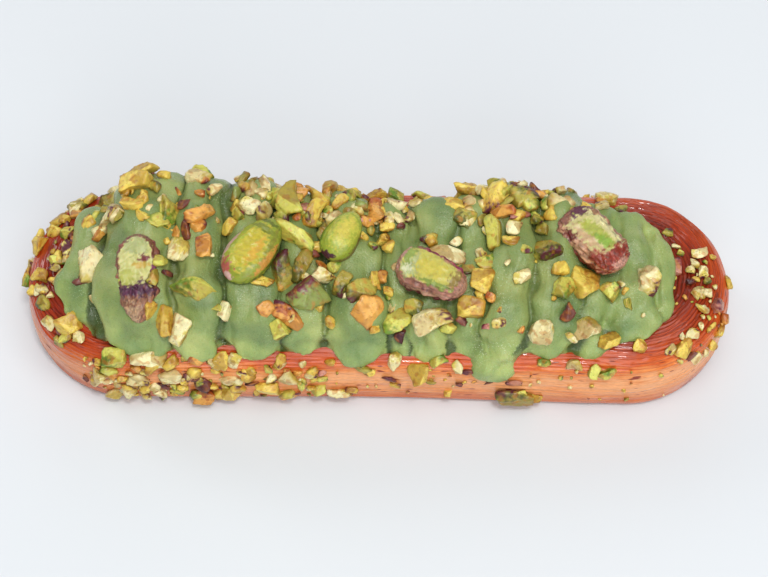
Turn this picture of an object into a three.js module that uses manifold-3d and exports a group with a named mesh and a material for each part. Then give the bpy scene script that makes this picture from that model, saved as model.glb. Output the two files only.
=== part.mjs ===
// A pistachio danish: a long flat coil of laminated dough baked in a mould with round ends,
// piped with overlapping strokes of pistachio cream and strewn with chopped pistachios and
// five whole or halved kernels. Millimetres, +Z up, the length along X, the origin in the
// middle of the flat underside.
import * as THREE from "three";
import { ConvexGeometry } from "three/addons/geometries/ConvexGeometry.js";
import { ParametricGeometry } from "three/addons/geometries/ParametricGeometry.js";
import { mergeVertices } from "three/addons/utils/BufferGeometryUtils.js";
import Module from "manifold-3d";

const wasm = await Module();
wasm.setup();

// The baked dough
const LENGTH = 150;
const WIDTH = 44;
const HEIGHT = 20;
const WAIST = 0.7; // how far each long side draws in at its middle
const SHOULDER_RUN = 9; // the rounded upper edge, measured inwards
const SHOULDER_DROP = 6.5; // and downwards
const FOOT_RADIUS = 2.2;
const BELLY = 0.4;
const RING_PITCH = 1.45; // one turn of the coiled layers
const RING_DEPTH = 0.5;
const RING_UNEVENNESS = 0.15; // swing of the grooves' depth round the coil
const RINGED_TOP = 5.8; // flat top inside the shoulder that still shows its rings
const RADIUS = WIDTH / 2;
const STRAIGHT = LENGTH - WIDTH;
const WALL_TOP = HEIGHT - SHOULDER_DROP;

// Grid counts of the dough: columns in a quarter of a round end and in a straight side
const QUARTER = 8;
const SIDE = 8;
const AROUND = 4 * QUARTER + 2 * SIDE;
const CUTTER_SHOULDER_STEPS = 5;
const CUTTER_DEPTH = 1; // how far the cutter reaches under the floor

// The free gap between the dough, the cream and the kernels
const GAP = 0.4;

// Each stroke of cream: front tip and back tip in plan, sideways bow, width near the front and
// near the back, and thickness
const STROKES = [
  { front: [-60.8, -11.4], back: [-57.2, 11.5], bow: -0.4, widths: [15.4, 12], thick: 6.8 },
  { front: [-48.2, -21], back: [-46.6, 19], bow: -1.6, widths: [18.4, 16], thick: 14.6 },
  { front: [-37, -21.2], back: [-35.8, 19], bow: -0.6, widths: [13.4, 12.5], thick: 13.8 },
  { front: [-25.8, -21.2], back: [-27.8, 18.8], bow: 0.4, widths: [15.6, 12.4], thick: 12.4 },
  { front: [-15, -20.2], back: [-18.4, 17], bow: 0.6, widths: [12.4, 12.4], thick: 11 },
  { front: [-4, -21.5], back: [-8.2, 16.4], bow: 1, widths: [15.4, 13], thick: 10.4 },
  { front: [4.8, -17.4], back: [2.6, 14.6], bow: 0.6, widths: [9.6, 10.4], thick: 8.8 },
  { front: [10.8, -20.9], back: [12.2, 16], bow: 0, widths: [10.6, 13.4], thick: 9 },
  { front: [19.4, -19.6], back: [20.8, 17.6], bow: 0.4, widths: [12.4, 10], thick: 9.4 },
  { front: [24.8, -21.7], back: [29.2, 19], bow: 1.4, widths: [11.6, 13], thick: 12 },
  { front: [35.6, -20.4], back: [38.4, 17.2], bow: 0.8, widths: [12.6, 12.6], thick: 10.4 },
  { front: [44.6, -16.6], back: [46.2, 15.2], bow: 0.5, widths: [11.4, 11.4], thick: 6.8 },
  { front: [52.4, -17.6], back: [52.8, 13.6], bow: 0.6, widths: [12.4, 11.6], thick: 5.8 },
  { front: [58, -12.4], back: [57.2, 11.6], bow: 0.8, widths: [7.2, 7.2], thick: 4.6 },
];
const TIP_POWER = 7; // how bluntly a stroke ends in plan
const CREST = 0.3; // where a stroke is thickest, from -1 at its front to 1 at its back
const FRONT_SLOPE = 3; // the cream climbs gently from the front
const BACK_SLOPE = 4; // and ends more steeply at the back
const REST = 0.42; // share of a stroke's thickness that lies below its widest line
const SINK = 1.4; // how deep the strokes reach into the dough before they are cut to it
const STROKE_SLICES = 12;
const STROKE_STACKS = 12;

// One tongue of cream hangs down over the wall
const TONGUE = { at: [24.8, -19.8, 15.4], radii: [5.7, 3.9, 5.2] };
const TONGUE_SEGMENTS = [12, 8];

// The mound that fills the space under the strokes: the dough's outline, smaller and set back
const MOUND_SCALE = [0.855, 0.727];
const MOUND_CENTRE = [-3.5, -3];
const MOUND_EDGE = 18.8; // height of its edge
const MOUND_RUN = 12;
const MOUND_RISE = 7.5;
const MOUND_STEPS = 3;

// The kernels: centre, size, heading in plan, pitch, how far up a broken face lies, and the
// power that says how full the outline stays towards its ends
const KERNELS = [
  { at: [-48.8, -9.8, 31], size: [18.6, 8.4, 7.6], heading: -87, pitch: -20, face: 2.2, full: 3 },
  { at: [-25.4, -3.8, 33], size: [16.6, 9.6, 6.4], heading: 56, pitch: 6, face: 2.4, full: 2.4 },
  { at: [-7.2, 0.4, 32.2], size: [12, 7.4, 6.4], heading: 64, pitch: 4, face: 9, full: 2.6 },
  { at: [11.4, -7.8, 30.8], size: [15.8, 8.8, 7.6], heading: -29, pitch: 3, face: 2.4, full: 3.6 },
  { at: [45, 1.6, 29.6], size: [17.4, 9.8, 7.8], heading: -50, pitch: 6, face: 2.8, full: 5 },
];
const KERNEL_ENDING = 0.58; // power of the outline's rounding at the ends
const KERNEL_TAPER = 0.16;
const KERNEL_FLUTES = 5;
const FLUTE_DEPTH = 0.035;
const KERNEL_SLICES = 12;
const KERNEL_STACKS = 10;

// The largest chopped nuts on the cream: x, y, length, width, turn in degrees
const LARGE_ON_CREAM = [
  [-50, 11, 5.8, 4.2, 0], [-50, 15.5, 5.2, 3.5, 0], [-38, 16.5, 6.5, 3.2, 5],
  [-37.5, 14, 5.5, 2.8, -15], [-55, 5.5, 5.6, 3.7, -20], [-43.5, 4.7, 6.4, 4.2, 100],
  [-36.7, 4.4, 7, 3.2, 33], [-36, -2.8, 5, 2.8, 105], [-40.3, -3.8, 5, 4.4, 80],
  [-58.4, -3.7, 6.6, 6, 20], [-37.8, -12.3, 8, 3.6, -5], [-43.2, -17.3, 6, 3.2, 110],
  [-40, -18.2, 5.6, 4, 60], [-19.2, 9, 6, 4.2, 105], [-14, 6, 6.2, 3.8, 85],
  [-17, 0.8, 7.6, 5.6, -20], [-1, 8.3, 5.6, 3.6, 110], [-15.5, -6, 5.8, 3, 75],
  [-19.4, -7.8, 7.2, 4, 110], [-11, -7.2, 5.2, 4, 10], [-14.8, -12, 6.4, 4.8, 30],
  [-3.2, -10.8, 5, 3.5, 20], [-1.2, -14.5, 5.8, 5, 50], [-18, -15, 6, 3, -45],
  [4.2, -15, 5.4, 4, 20], [11.5, -15.5, 6, 5, 20], [13.9, -1.6, 6.8, 3.8, -12],
  [15.2, 11, 5, 3.6, -20], [21.3, -8.3, 5, 4, 70], [25, 11, 5.6, 4.6, 60],
  [25.8, 7.6, 6, 2.6, 0], [24.7, 3, 6.2, 3, 85], [42.4, -7.3, 6.4, 5, 70],
  [38.7, -9.2, 5, 3.4, 60], [56, -6, 5.8, 4.2, 100], [34.7, -16.8, 5, 4.2, 60],
  [43.3, -15.8, 5.4, 4.6, 20],
];

// The largest ones on the dough: seen from above as before, and on the front with a height for y
const LARGE_ON_RIM = [
  [-63.5, -14.4, 4.8, 4.2, 20], [-72.4, 5.4, 5.6, 3, 65], [-65.3, 14, 4, 2.4, 80],
  [0, 19.2, 4.2, 2.4, 0], [8.7, 18.8, 3.6, 2.4, 0], [49, 18.3, 4.4, 3, 10],
  [64.2, -16.3, 4.2, 2.6, 70],
];
const LARGE_ON_FRONT = [
  [-58.2, 11.5, 3.8, 3, 110], [-54.2, 16.8, 4, 3.8, 0], [-47, 17, 5.6, 3.4, 0],
  [-43.7, 12.1, 4.4, 3, 0], [-30.6, 4.2, 4, 3, -40], [-23.3, 7.6, 4.6, 3.4, 10],
  [-18.2, 10.8, 4.2, 3.2, 60], [9, 14, 5.2, 4.2, 80], [29.8, 5.5, 6.4, 3.2, 0],
];

// Smaller chopped nuts, listed in the same way
const SMALL_ON_CREAM = [
  [-50.6, 6, 4, 2.6, 0], [-59.8, 11.2, 4, 3.6, 0], [-45.8, 2, 4, 2.8, -45],
  [-46, -15.9, 4, 2.4, 100], [-21, 16.8, 5.2, 4, -30], [-27.3, 7, 4.4, 3.4, -30],
  [-30.4, 2.4, 4, 2.6, 60], [-23.5, -10, 4, 2.2, -10], [-7.1, -9.2, 4, 3.6, 60],
  [-22.9, -15.2, 3.8, 2.6, 30], [-19.8, -17.4, 4, 3, 40], [-30.6, -15.2, 3.8, 3, -50],
  [19.2, 15, 4.4, 3.6, -10], [18.5, 7.4, 4.2, 3.6, 70], [30.6, 11, 4.4, 3.8, 20],
  [29.6, -8, 3.8, 2, 35], [22.7, -3.4, 4.4, 3, 30], [19.6, -13.2, 4.4, 3.2, 0],
  [7.9, -13.4, 4, 3, 0], [-0.6, -8, 4, 2, 100], [35.8, -1.4, 4.6, 4, -30],
  [48.3, -16.4, 4.2, 3, 0], [-58.4, 3.5, 3.8, 2.6, 75], [-11.3, 4, 3.6, 2.8, 60],
  [1.5, 2.2, 3.4, 2.6, 10], [25.2, 16.2, 3.6, 3, 0], [48.3, -8.3, 3.6, 2.8, -40],
];
const SMALL_ON_RIM = [
  [-58.8, 15.5, 3.6, 2.4, 0], [-56.5, 18.5, 3.2, 2.4, 20], [-66.4, 7.6, 2.8, 2.4, 0],
  [-65.8, 3, 4.2, 2.2, 100], [-64, 1.2, 3.2, 2.4, -30], [-68, 0.6, 2.6, 1.8, 10],
  [-71, -2.2, 3.2, 2.4, -20], [-67.3, -3.4, 3, 2.2, 80], [-68.6, -12.8, 2.8, 2.4, -30],
  [-61.7, -17, 2.8, 2, -20], [71.2, -7, 3.6, 3, 60], [63, 1.4, 3, 2.2, 90],
  [68.2, 4.6, 2.6, 2.2, 0], [68.6, 0, 2.6, 2, 80], [67.6, -4.8, 3, 1.8, 50],
  [65.7, -13.6, 2.4, 2, 0], [54.7, -17.4, 2.6, 2.2, 0], [52, 14.6, 3, 2.6, 0],
  [3.5, 18, 3, 2.8, 0],
];
const SMALL_ON_FRONT = [
  [-50.2, 10.2, 4, 2, 0], [-45.6, 5.2, 3, 2, 10], [-36.5, 4, 4, 3.2, 60],
  [-37.5, 16.8, 3.6, 2.6, 0], [-32.3, 16.8, 4, 2.6, 90], [-29.5, 16.4, 3.6, 2.4, 80],
  [-31.2, 10, 3.4, 2.8, 10], [-18.6, 3.8, 3.8, 2.4, 0], [-8, 4.6, 4, 2.6, 0],
  [3.6, 16.8, 3, 2.4, 60], [16.9, 15.4, 2.8, 2.4, 60], [45.6, 15.8, 3, 2, 60],
  [48.1, 15.2, 3.4, 2, 20], [33.2, 3.6, 3.6, 2.2, 10],
];

// On the back a few are strewn by chance between two corners, a spacing apart
const STREWN_ON_BACK = {
  count: 9, seed: 53, from: [-56, 3.5], to: [56, 14], length: [2.6, 3.8], spacing: 6,
};
const TRIES_PER_NUT = 40;
const SLENDERNESS = [0.6, 0.85]; // the range of a small nut's width over its length
const CORNER_PULL = 0.8; // how far a chopped nut's corners may be drawn in
const CORNER_REACH = 1.2; // a corner that is not drawn in stands out this much beyond the size
const THICK_SHARE = 0.72; // a chopped nut's thickness over its width
const EMBEDDED = 0.32; // share of that thickness sunk into what it lies on
const TUMBLE = 24; // degrees that a nut may lean out of its surface
const FLOOR_CLEARANCE = 0.3;
const SHAPE_SEEDS = { cream: 100, rim: 300, front: 400, back: 500 };
const FAR = 200; // where the rays that seat the nuts set out

const SAME_CORNER = 1e-4; // corners nearer than this are one

const degrees = THREE.MathUtils.degToRad;
const lerp = THREE.MathUtils.lerp;

// A repeatable stream of numbers from 0 to 1.
function randomStream(seed) {
  let state = seed >>> 0;
  const next = () => {
    state = (Math.imul(state, 1664525) + 1013904223) >>> 0;
    return state / 4294967296;
  };
  next();
  next();
  return next;
}

// Closed geometry to solid: shared corners are merged, and collapsed triangles dropped.
function toSolid(geometry, matrix = new THREE.Matrix4()) {
  const bare = new THREE.BufferGeometry();
  bare.setAttribute("position", geometry.getAttribute("position").clone());
  if (geometry.index) bare.setIndex(geometry.index.clone());
  bare.applyMatrix4(matrix);
  const merged = mergeVertices(bare, SAME_CORNER);
  const corners = merged.index.array;
  const kept = [];
  for (let i = 0; i < corners.length; i += 3) {
    const [a, b, c] = [corners[i], corners[i + 1], corners[i + 2]];
    if (a !== b && b !== c && c !== a) kept.push(a, b, c);
  }
  const solidOf = (triangles) =>
    new wasm.Manifold(
      new wasm.Mesh({
        numProp: 3,
        vertProperties: new Float32Array(merged.attributes.position.array),
        triVerts: new Uint32Array(triangles),
      }),
    );
  const solid = solidOf(kept);
  return solid.volume() < 0 ? solidOf(kept.reverse()) : solid;
}

// Solid back to geometry, flat shaded.
function toGeometry(solid) {
  const mesh = solid.getMesh();
  const geometry = new THREE.BufferGeometry();
  geometry.setAttribute("position", new THREE.BufferAttribute(mesh.vertProperties, 3));
  geometry.setIndex(new THREE.BufferAttribute(mesh.triVerts, 1));
  const flat = geometry.toNonIndexed();
  flat.computeVertexNormals();
  return flat;
}

// The stations round the dough's outline: a point on its spine and the way out from it.
function outlineStations() {
  const stations = [];
  const add = (spine, angle) => stations.push({ spine, angle });
  const half = STRAIGHT / 2;
  for (let i = 0; i < QUARTER; i++) add(half, (i / QUARTER) * 90);
  for (let i = 0; i < SIDE; i++) add(half - (STRAIGHT * i) / SIDE, 90);
  for (let i = 0; i < 2 * QUARTER; i++) add(-half, 90 + (i / (2 * QUARTER)) * 180);
  for (let i = 0; i < SIDE; i++) add(-half + (STRAIGHT * i) / SIDE, 270);
  for (let i = 0; i < QUARTER; i++) add(half, 270 + (i / QUARTER) * 90);
  return stations;
}
const STATIONS = outlineStations();

// How much narrower the dough is at a place along its length.
function waistAt(x) {
  const inside = Math.min(Math.abs(x) / (STRAIGHT / 2), 1);
  return 1 - (WAIST / RADIUS) * Math.cos((inside * Math.PI) / 2) ** 2;
}

// A profile row is an inset from the outline and a height. It carries whether it is a groove.
function shoulderRow(angle, out, groove) {
  const ahead = new THREE.Vector2(Math.cos(angle) / SHOULDER_RUN, Math.sin(angle) / SHOULDER_DROP);
  ahead.normalize();
  return {
    inset: SHOULDER_RUN * (1 - Math.cos(angle)) - ahead.x * out,
    height: WALL_TOP + SHOULDER_DROP * Math.sin(angle) + ahead.y * out,
    normal: ahead,
    groove,
  };
}

// The dough's profile from the middle of the underside round to the middle of the top.
function doughProfile() {
  const rows = [{ inset: RADIUS, height: 0 }, { inset: FOOT_RADIUS, height: 0 }];
  for (const share of [0.5, 1]) {
    const angle = (share * Math.PI) / 2;
    rows.push({
      inset: FOOT_RADIUS * (1 - Math.sin(angle)),
      height: FOOT_RADIUS * (1 - Math.cos(angle)),
    });
  }
  rows.push({ inset: -BELLY, height: lerp(FOOT_RADIUS, WALL_TOP, 0.5) });
  const arc = (Math.PI / 4) * (SHOULDER_RUN + SHOULDER_DROP);
  const shoulderSteps = 2 * Math.round(arc / RING_PITCH);
  for (let i = 0; i <= shoulderSteps; i++)
    rows.push(shoulderRow(((i / shoulderSteps) * Math.PI) / 2, 0, i % 2 === 1));
  const up = new THREE.Vector2(0, 1);
  const flatSteps = 2 * Math.round(RINGED_TOP / RING_PITCH);
  for (let i = 1; i <= flatSteps; i++) {
    const inset = SHOULDER_RUN + (i / flatSteps) * RINGED_TOP;
    rows.push({ inset, height: HEIGHT, normal: up, groove: i % 2 === 1 });
  }
  rows.push({ inset: RADIUS, height: HEIGHT });
  return rows;
}

// The same profile without rings and standing off by a gap: it cuts what lies on the dough.
function cutterProfile() {
  const rows = [
    { inset: RADIUS, height: -CUTTER_DEPTH },
    { inset: -BELLY - GAP, height: -CUTTER_DEPTH },
  ];
  for (let i = 0; i <= CUTTER_SHOULDER_STEPS; i++)
    rows.push(shoulderRow(((i / CUTTER_SHOULDER_STEPS) * Math.PI) / 2, GAP, false));
  rows.push({ inset: RADIUS, height: HEIGHT + GAP });
  return rows;
}

// A closed solid that carries a profile round the outline. Grooves vary a little in depth.
function carryRound(rows, matrix) {
  const last = rows.length - 1;
  const geometry = new ParametricGeometry(
    (u, v, target) => {
      const column = Math.round(u * AROUND) % AROUND;
      const { spine, angle } = STATIONS[column];
      const index = Math.round(v * last);
      const row = rows[index];
      let { inset, height } = row;
      if (row.groove) {
        const swing = RING_UNEVENNESS * Math.sin(column * index);
        const depth = RING_DEPTH * (1 - RING_UNEVENNESS + swing);
        inset += row.normal.x * depth;
        height -= row.normal.y * depth;
      }
      const out = RADIUS - inset;
      const turn = degrees(angle);
      target.set(
        spine + out * Math.cos(turn),
        out * Math.sin(turn) * waistAt(spine),
        height,
      );
    },
    AROUND,
    last,
  );
  return toSolid(geometry, matrix);
}

// Height of the smooth dough at a place in plan.
function doughTop(x, y) {
  const beyond = Math.max(Math.abs(x) - STRAIGHT / 2, 0);
  const inset = RADIUS - Math.hypot(beyond, y / waistAt(x));
  if (inset <= 0) return WALL_TOP;
  if (inset >= SHOULDER_RUN) return HEIGHT;
  return WALL_TOP + SHOULDER_DROP * Math.sqrt(1 - (1 - inset / SHOULDER_RUN) ** 2);
}

// How thick a stroke is at a place along it, as a share of its greatest thickness.
function thicknessAt(along) {
  const before = along < CREST;
  const away = Math.abs(along - CREST) / (before ? 1 + CREST : 1 - CREST);
  return Math.sqrt(Math.max(1 - away ** (before ? FRONT_SLOPE : BACK_SLOPE), 0));
}

// One stroke of cream: an oval section carried from its front tip over to its back tip.
function strokeSolid({ front, back, bow, widths, thick }) {
  const geometry = new ParametricGeometry(
    (u, v, target) => {
      const along = -Math.cos(Math.PI * v);
      const share = (along + 1) / 2;
      const x = lerp(front[0], back[0], share) + bow * (1 - along ** 2);
      const y = lerp(front[1], back[1], share);
      const reach = Math.sqrt(Math.max(1 - Math.abs(along) ** TIP_POWER, 0));
      const halfWidth = (lerp(...widths, share) / 2) * reach;
      const rise = thick * thicknessAt(along);
      const angle = 2 * Math.PI * u;
      const upward = Math.sin(angle);
      const lift = upward > 0 ? rise * (1 - REST) * upward : (rise * REST + SINK * reach) * upward;
      target.set(x + halfWidth * Math.cos(angle), y, doughTop(x, y) + rise * REST + lift);
    },
    STROKE_SLICES,
    STROKE_STACKS,
  );
  return toSolid(geometry);
}

// The hanging tongue: a sphere drawn out to its three radii.
function tongueSolid({ at, radii }) {
  const matrix = new THREE.Matrix4().makeTranslation(...at).scale(new THREE.Vector3(...radii));
  return toSolid(new THREE.SphereGeometry(1, ...TONGUE_SEGMENTS), matrix);
}

function moundSolid() {
  const rows = [{ inset: RADIUS, height: WALL_TOP }, { inset: 0, height: WALL_TOP }];
  for (let i = 0; i <= MOUND_STEPS; i++) {
    const angle = ((i / MOUND_STEPS) * Math.PI) / 2;
    rows.push({
      inset: (MOUND_RUN * i) / MOUND_STEPS,
      height: MOUND_EDGE + MOUND_RISE * Math.sin(angle),
    });
  }
  rows.push({ inset: RADIUS, height: MOUND_EDGE + MOUND_RISE });
  const matrix = new THREE.Matrix4().makeTranslation(...MOUND_CENTRE, 0);
  matrix.scale(new THREE.Vector3(...MOUND_SCALE, 1));
  return carryRound(rows, matrix);
}

// A kernel: blunt at one end and pointed at the other, with a broken face on top.
function kernelGeometry([length, width, height], face, full, extra) {
  return new ParametricGeometry(
    (u, v, target) => {
      const along = -Math.cos(Math.PI * v);
      const swell = (1 - Math.abs(along) ** full) ** KERNEL_ENDING * (1 - KERNEL_TAPER * along);
      const angle = 2 * Math.PI * u;
      const wrinkle = 1 + FLUTE_DEPTH * Math.cos(KERNEL_FLUTES * angle);
      target.set(
        along * (length / 2 + extra),
        (width / 2 + extra) * swell * wrinkle * Math.cos(angle),
        Math.min((height / 2 + extra) * swell * wrinkle * Math.sin(angle), face + extra),
      );
    },
    KERNEL_SLICES,
    KERNEL_STACKS,
  );
}

// A chopped nut: the hull of a box whose corners are drawn in, a few far and most a little.
function shardGeometry(length, width, random) {
  const half = [length, width, width * THICK_SHARE].map((side) => (side / 2) * CORNER_REACH);
  const points = [];
  for (const x of [-1, 1])
    for (const y of [-1, 1])
      for (const z of [-1, 1]) {
        const share = () => 1 - CORNER_PULL * random() ** 2;
        const pulled = [x, y, z].map((side, axis) => side * half[axis] * share());
        points.push(new THREE.Vector3(...pulled));
      }
  return new ConvexGeometry(points);
}

// Draws a scatter: nuts between two corners, apart from each other.
function scatter({ count, seed, from, to, length, spacing }) {
  const random = randomStream(seed);
  const drawn = [];
  for (let tries = 0; drawn.length < count && tries < TRIES_PER_NUT * count; tries++) {
    const x = lerp(from[0], to[0], random());
    const y = lerp(from[1], to[1], random());
    const long = lerp(...length, random());
    const wide = long * lerp(...SLENDERNESS, random());
    const turn = 180 * random();
    const apart = drawn.every(([a, b]) => Math.hypot(a - x, b - y) > spacing);
    if (apart) drawn.push([x, y, long, wide, turn]);
  }
  return drawn;
}

// Where a ray first meets a surface, and the way out of it there.
function surfaceAt(mesh, origin, direction) {
  const [hit] = new THREE.Raycaster(origin, direction).intersectObject(mesh);
  return hit ? { point: hit.point, normal: hit.face.normal } : null;
}

// Seats one chopped nut on a surface, turned and tumbled, and returns its solid.
function seatedNut({ point, normal }, [, , length, width, turn], seed) {
  const random = randomStream(seed);
  const geometry = shardGeometry(length, width, random);
  const lean = () => degrees(TUMBLE * (2 * random() - 1));
  const tumbled = new THREE.Euler(lean(), lean(), degrees(turn), "ZYX");
  const seated = new THREE.Quaternion().setFromUnitVectors(new THREE.Vector3(0, 0, 1), normal);
  seated.multiply(new THREE.Quaternion().setFromEuler(tumbled));
  const lift = width * THICK_SHARE * (0.5 - EMBEDDED);
  const centre = point.clone().addScaledVector(normal, lift);
  const matrix = new THREE.Matrix4().compose(centre, seated, new THREE.Vector3(1, 1, 1));
  return toSolid(geometry, matrix);
}

// The nuts of a list, each seated where its ray meets a body. The ray starts at a place that
// the nut's first two numbers give, and runs in one direction.
function seatNuts(body, nuts, direction, startOf, seed) {
  const surface = new THREE.Mesh(toGeometry(body));
  const solids = [];
  nuts.forEach((nut, index) => {
    const spot = surfaceAt(surface, startOf(nut), direction);
    if (spot) solids.push(seatedNut(spot, nut, seed + index));
  });
  return solids;
}

const DOWN = new THREE.Vector3(0, 0, -1);
const TO_BACK = new THREE.Vector3(0, 1, 0);
const TO_FRONT = new THREE.Vector3(0, -1, 0);
const above = ([x, y]) => new THREE.Vector3(x, y, FAR);
const inFront = ([x, height]) => new THREE.Vector3(x, -FAR, height);
const behind = ([x, height]) => new THREE.Vector3(x, FAR, height);

// Fuses onto a body every chopped nut that keeps clear of its neighbours and of the floor.
function strew(body, nuts, neighbours) {
  const kept = nuts.filter((nut) => {
    const clear = neighbours.every((other) => nut.minGap(other, GAP) >= GAP);
    return clear && nut.boundingBox().min[2] > FLOOR_CLEARANCE;
  });
  return wasm.Manifold.union([body, ...kept]);
}

// The largest piece of a solid that cutting may have left in several.
function mainPiece(solid) {
  return solid.decompose().reduce((a, b) => (a.volume() > b.volume() ? a : b));
}

function meshOf(name, geometry, material) {
  const mesh = new THREE.Mesh(geometry, material);
  mesh.name = name;
  return mesh;
}

const crust = new THREE.MeshStandardMaterial({ color: 0xc4683f, roughness: 0.35 });
const cream = new THREE.MeshStandardMaterial({ color: 0x8fa45f, roughness: 0.55 });
const nutmeat = new THREE.MeshStandardMaterial({ color: 0xb5a24f, roughness: 0.6 });

const part = new THREE.Group();

// Kernels first, as everything else keeps clear of them
const kernelPockets = KERNELS.map(({ at, size, heading, pitch, face, full }, index) => {
  const kernel = meshOf(`kernel_${index + 1}`, kernelGeometry(size, face, full, 0), nutmeat);
  kernel.position.set(...at);
  kernel.rotation.set(0, -degrees(pitch), degrees(heading), "ZYX");
  kernel.updateMatrix();
  part.add(kernel);
  return toSolid(kernelGeometry(size, face, full, GAP), kernel.matrix);
});

// The cream lies on the dough, and the chopped nuts on it are cut to the dough as well
const doughBare = carryRound(doughProfile());
const doughCutter = carryRound(cutterProfile());
const creamWhole = wasm.Manifold.union([
  moundSolid(),
  tongueSolid(TONGUE),
  ...STROKES.map(strokeSolid),
]);
const creamBare = creamWhole.subtract(doughCutter);

const onCream = [...LARGE_ON_CREAM, ...SMALL_ON_CREAM];
const creamNuts = seatNuts(creamBare, onCream, DOWN, above, SHAPE_SEEDS.cream);
const creamStrewn = strew(creamBare, creamNuts, kernelPockets).subtract(doughCutter);
const creamSolid = mainPiece(
  kernelPockets.reduce((left, pocket) => left.subtract(pocket), creamStrewn),
);

// Chopped nuts on the dough: on its rim from above, on its sides from the front and back
const onRim = [...LARGE_ON_RIM, ...SMALL_ON_RIM];
const onFront = [...LARGE_ON_FRONT, ...SMALL_ON_FRONT];
const onBack = scatter(STREWN_ON_BACK);
const doughNuts = [
  ...seatNuts(doughBare, onRim, DOWN, above, SHAPE_SEEDS.rim),
  ...seatNuts(doughBare, onFront, TO_BACK, inFront, SHAPE_SEEDS.front),
  ...seatNuts(doughBare, onBack, TO_FRONT, behind, SHAPE_SEEDS.back),
];
const doughSolid = strew(doughBare, doughNuts, [creamSolid, ...kernelPockets]);

part.add(meshOf("pastry", toGeometry(doughSolid), crust));
part.add(meshOf("cream", toGeometry(creamSolid), cream));

export default part;
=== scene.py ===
# %% [markdown]
# # A pistachio danish
#
# A danish of this kind is a long sheet of laminated dough, rolled up flat like a watch spring
# and baked in a mould with round ends. Pistachio cream is piped across the top in overlapping
# strokes, and chopped and whole pistachios are strewn over everything. This lesson builds it
# in that order: dough, cream, whole kernels, chopped nuts. Each shape is worked out with numpy
# as a surface with two parameters, so that every bump has a reason and a size in millimetres.

import bmesh
import bpy
import numpy as np
from mathutils import Euler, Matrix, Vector
from mathutils.bvhtree import BVHTree


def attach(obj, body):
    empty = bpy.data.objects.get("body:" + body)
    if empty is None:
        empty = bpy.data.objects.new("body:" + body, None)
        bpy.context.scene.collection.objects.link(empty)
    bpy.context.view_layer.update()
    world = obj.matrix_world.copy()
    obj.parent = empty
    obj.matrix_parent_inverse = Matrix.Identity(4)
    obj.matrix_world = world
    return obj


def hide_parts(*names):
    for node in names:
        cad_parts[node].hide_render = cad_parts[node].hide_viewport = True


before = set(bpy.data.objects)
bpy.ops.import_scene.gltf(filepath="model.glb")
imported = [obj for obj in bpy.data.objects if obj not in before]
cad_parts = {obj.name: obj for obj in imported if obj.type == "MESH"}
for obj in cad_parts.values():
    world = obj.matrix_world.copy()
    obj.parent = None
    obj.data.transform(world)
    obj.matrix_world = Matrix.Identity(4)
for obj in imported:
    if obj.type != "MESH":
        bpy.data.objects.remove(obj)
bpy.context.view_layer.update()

# %% [markdown]
# ## Colours and unevenness
#
# Colours are picked as sRGB hex values, the way a colour picker shows them, but Blender mixes
# light in linear values, so one function converts them. Food is never even, so a second
# function gives a smooth random field. It is a sum of waves that run in random directions,
# which is quick to work out for a hundred thousand points at once.

# %% Colour and noise helpers
MM = 0.001


def linear(hex_colour):
    """sRGB to linear light: v / 12.92 below 0.04045, ((v + 0.055) / 1.055) ^ 2.4 above it."""
    srgb = np.array([int(hex_colour[i : i + 2], 16) for i in (1, 3, 5)]) / 255
    curved = ((srgb + 0.055) / 1.055) ** 2.4
    return np.append(np.where(srgb <= 0.04045, srgb / 12.92, curved), 1.0)


def uneven(places, wavelength, seed, waves=14):
    """A smooth random field with a swing of about 1: a sum of plane waves in random
    directions, with lengths round the one asked for, over the root of half their number."""
    rng = np.random.default_rng(seed)
    towards = rng.normal(size=(waves, places.shape[-1]))
    towards /= np.linalg.norm(towards, axis=1, keepdims=True)
    towards *= 2 * np.pi / (wavelength * rng.uniform(0.6, 1.6, (waves, 1)))
    phases = rng.uniform(0, 2 * np.pi, waves)
    return np.sin(places @ towards.T + phases).sum(-1) / np.sqrt(waves / 2)


def ease(low, high, value):
    """0 below low, 1 above high, and 3 t^2 - 2 t^3 between them."""
    t = np.clip((value - low) / (high - low), 0, 1)
    return t * t * (3 - 2 * t)


# %% [markdown]
# ## From arrays to meshes
#
# A surface on a grid becomes quads between neighbouring rows and columns. Where a row closes on
# itself or shrinks to a point, some corners fall on each other. Merging them closes the mesh,
# and recalculating the normals makes every face point outwards.

# %% Mesh helpers
MERGE = 1e-7  # metres


def grid_quads(rows, columns):
    """Four corner numbers for each cell of a grid whose last column joins its first."""
    index = np.arange(rows * columns).reshape(rows, columns)
    index = np.concatenate([index, index[:, :1]], axis=1)
    corners = [index[:-1, :-1], index[:-1, 1:], index[1:, 1:], index[1:, :-1]]
    return np.stack(corners, axis=-1).reshape(-1, 4)


def joined(surfaces):
    """Several closed grids as one list of points and one of quads."""
    points, quads, start = [], [], 0
    for surface in surfaces:
        points.append(surface.reshape(-1, 3))
        quads.append(grid_quads(*surface.shape[:2]) + start)
        start += len(points[-1])
    return np.concatenate(points), np.concatenate(quads)


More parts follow.
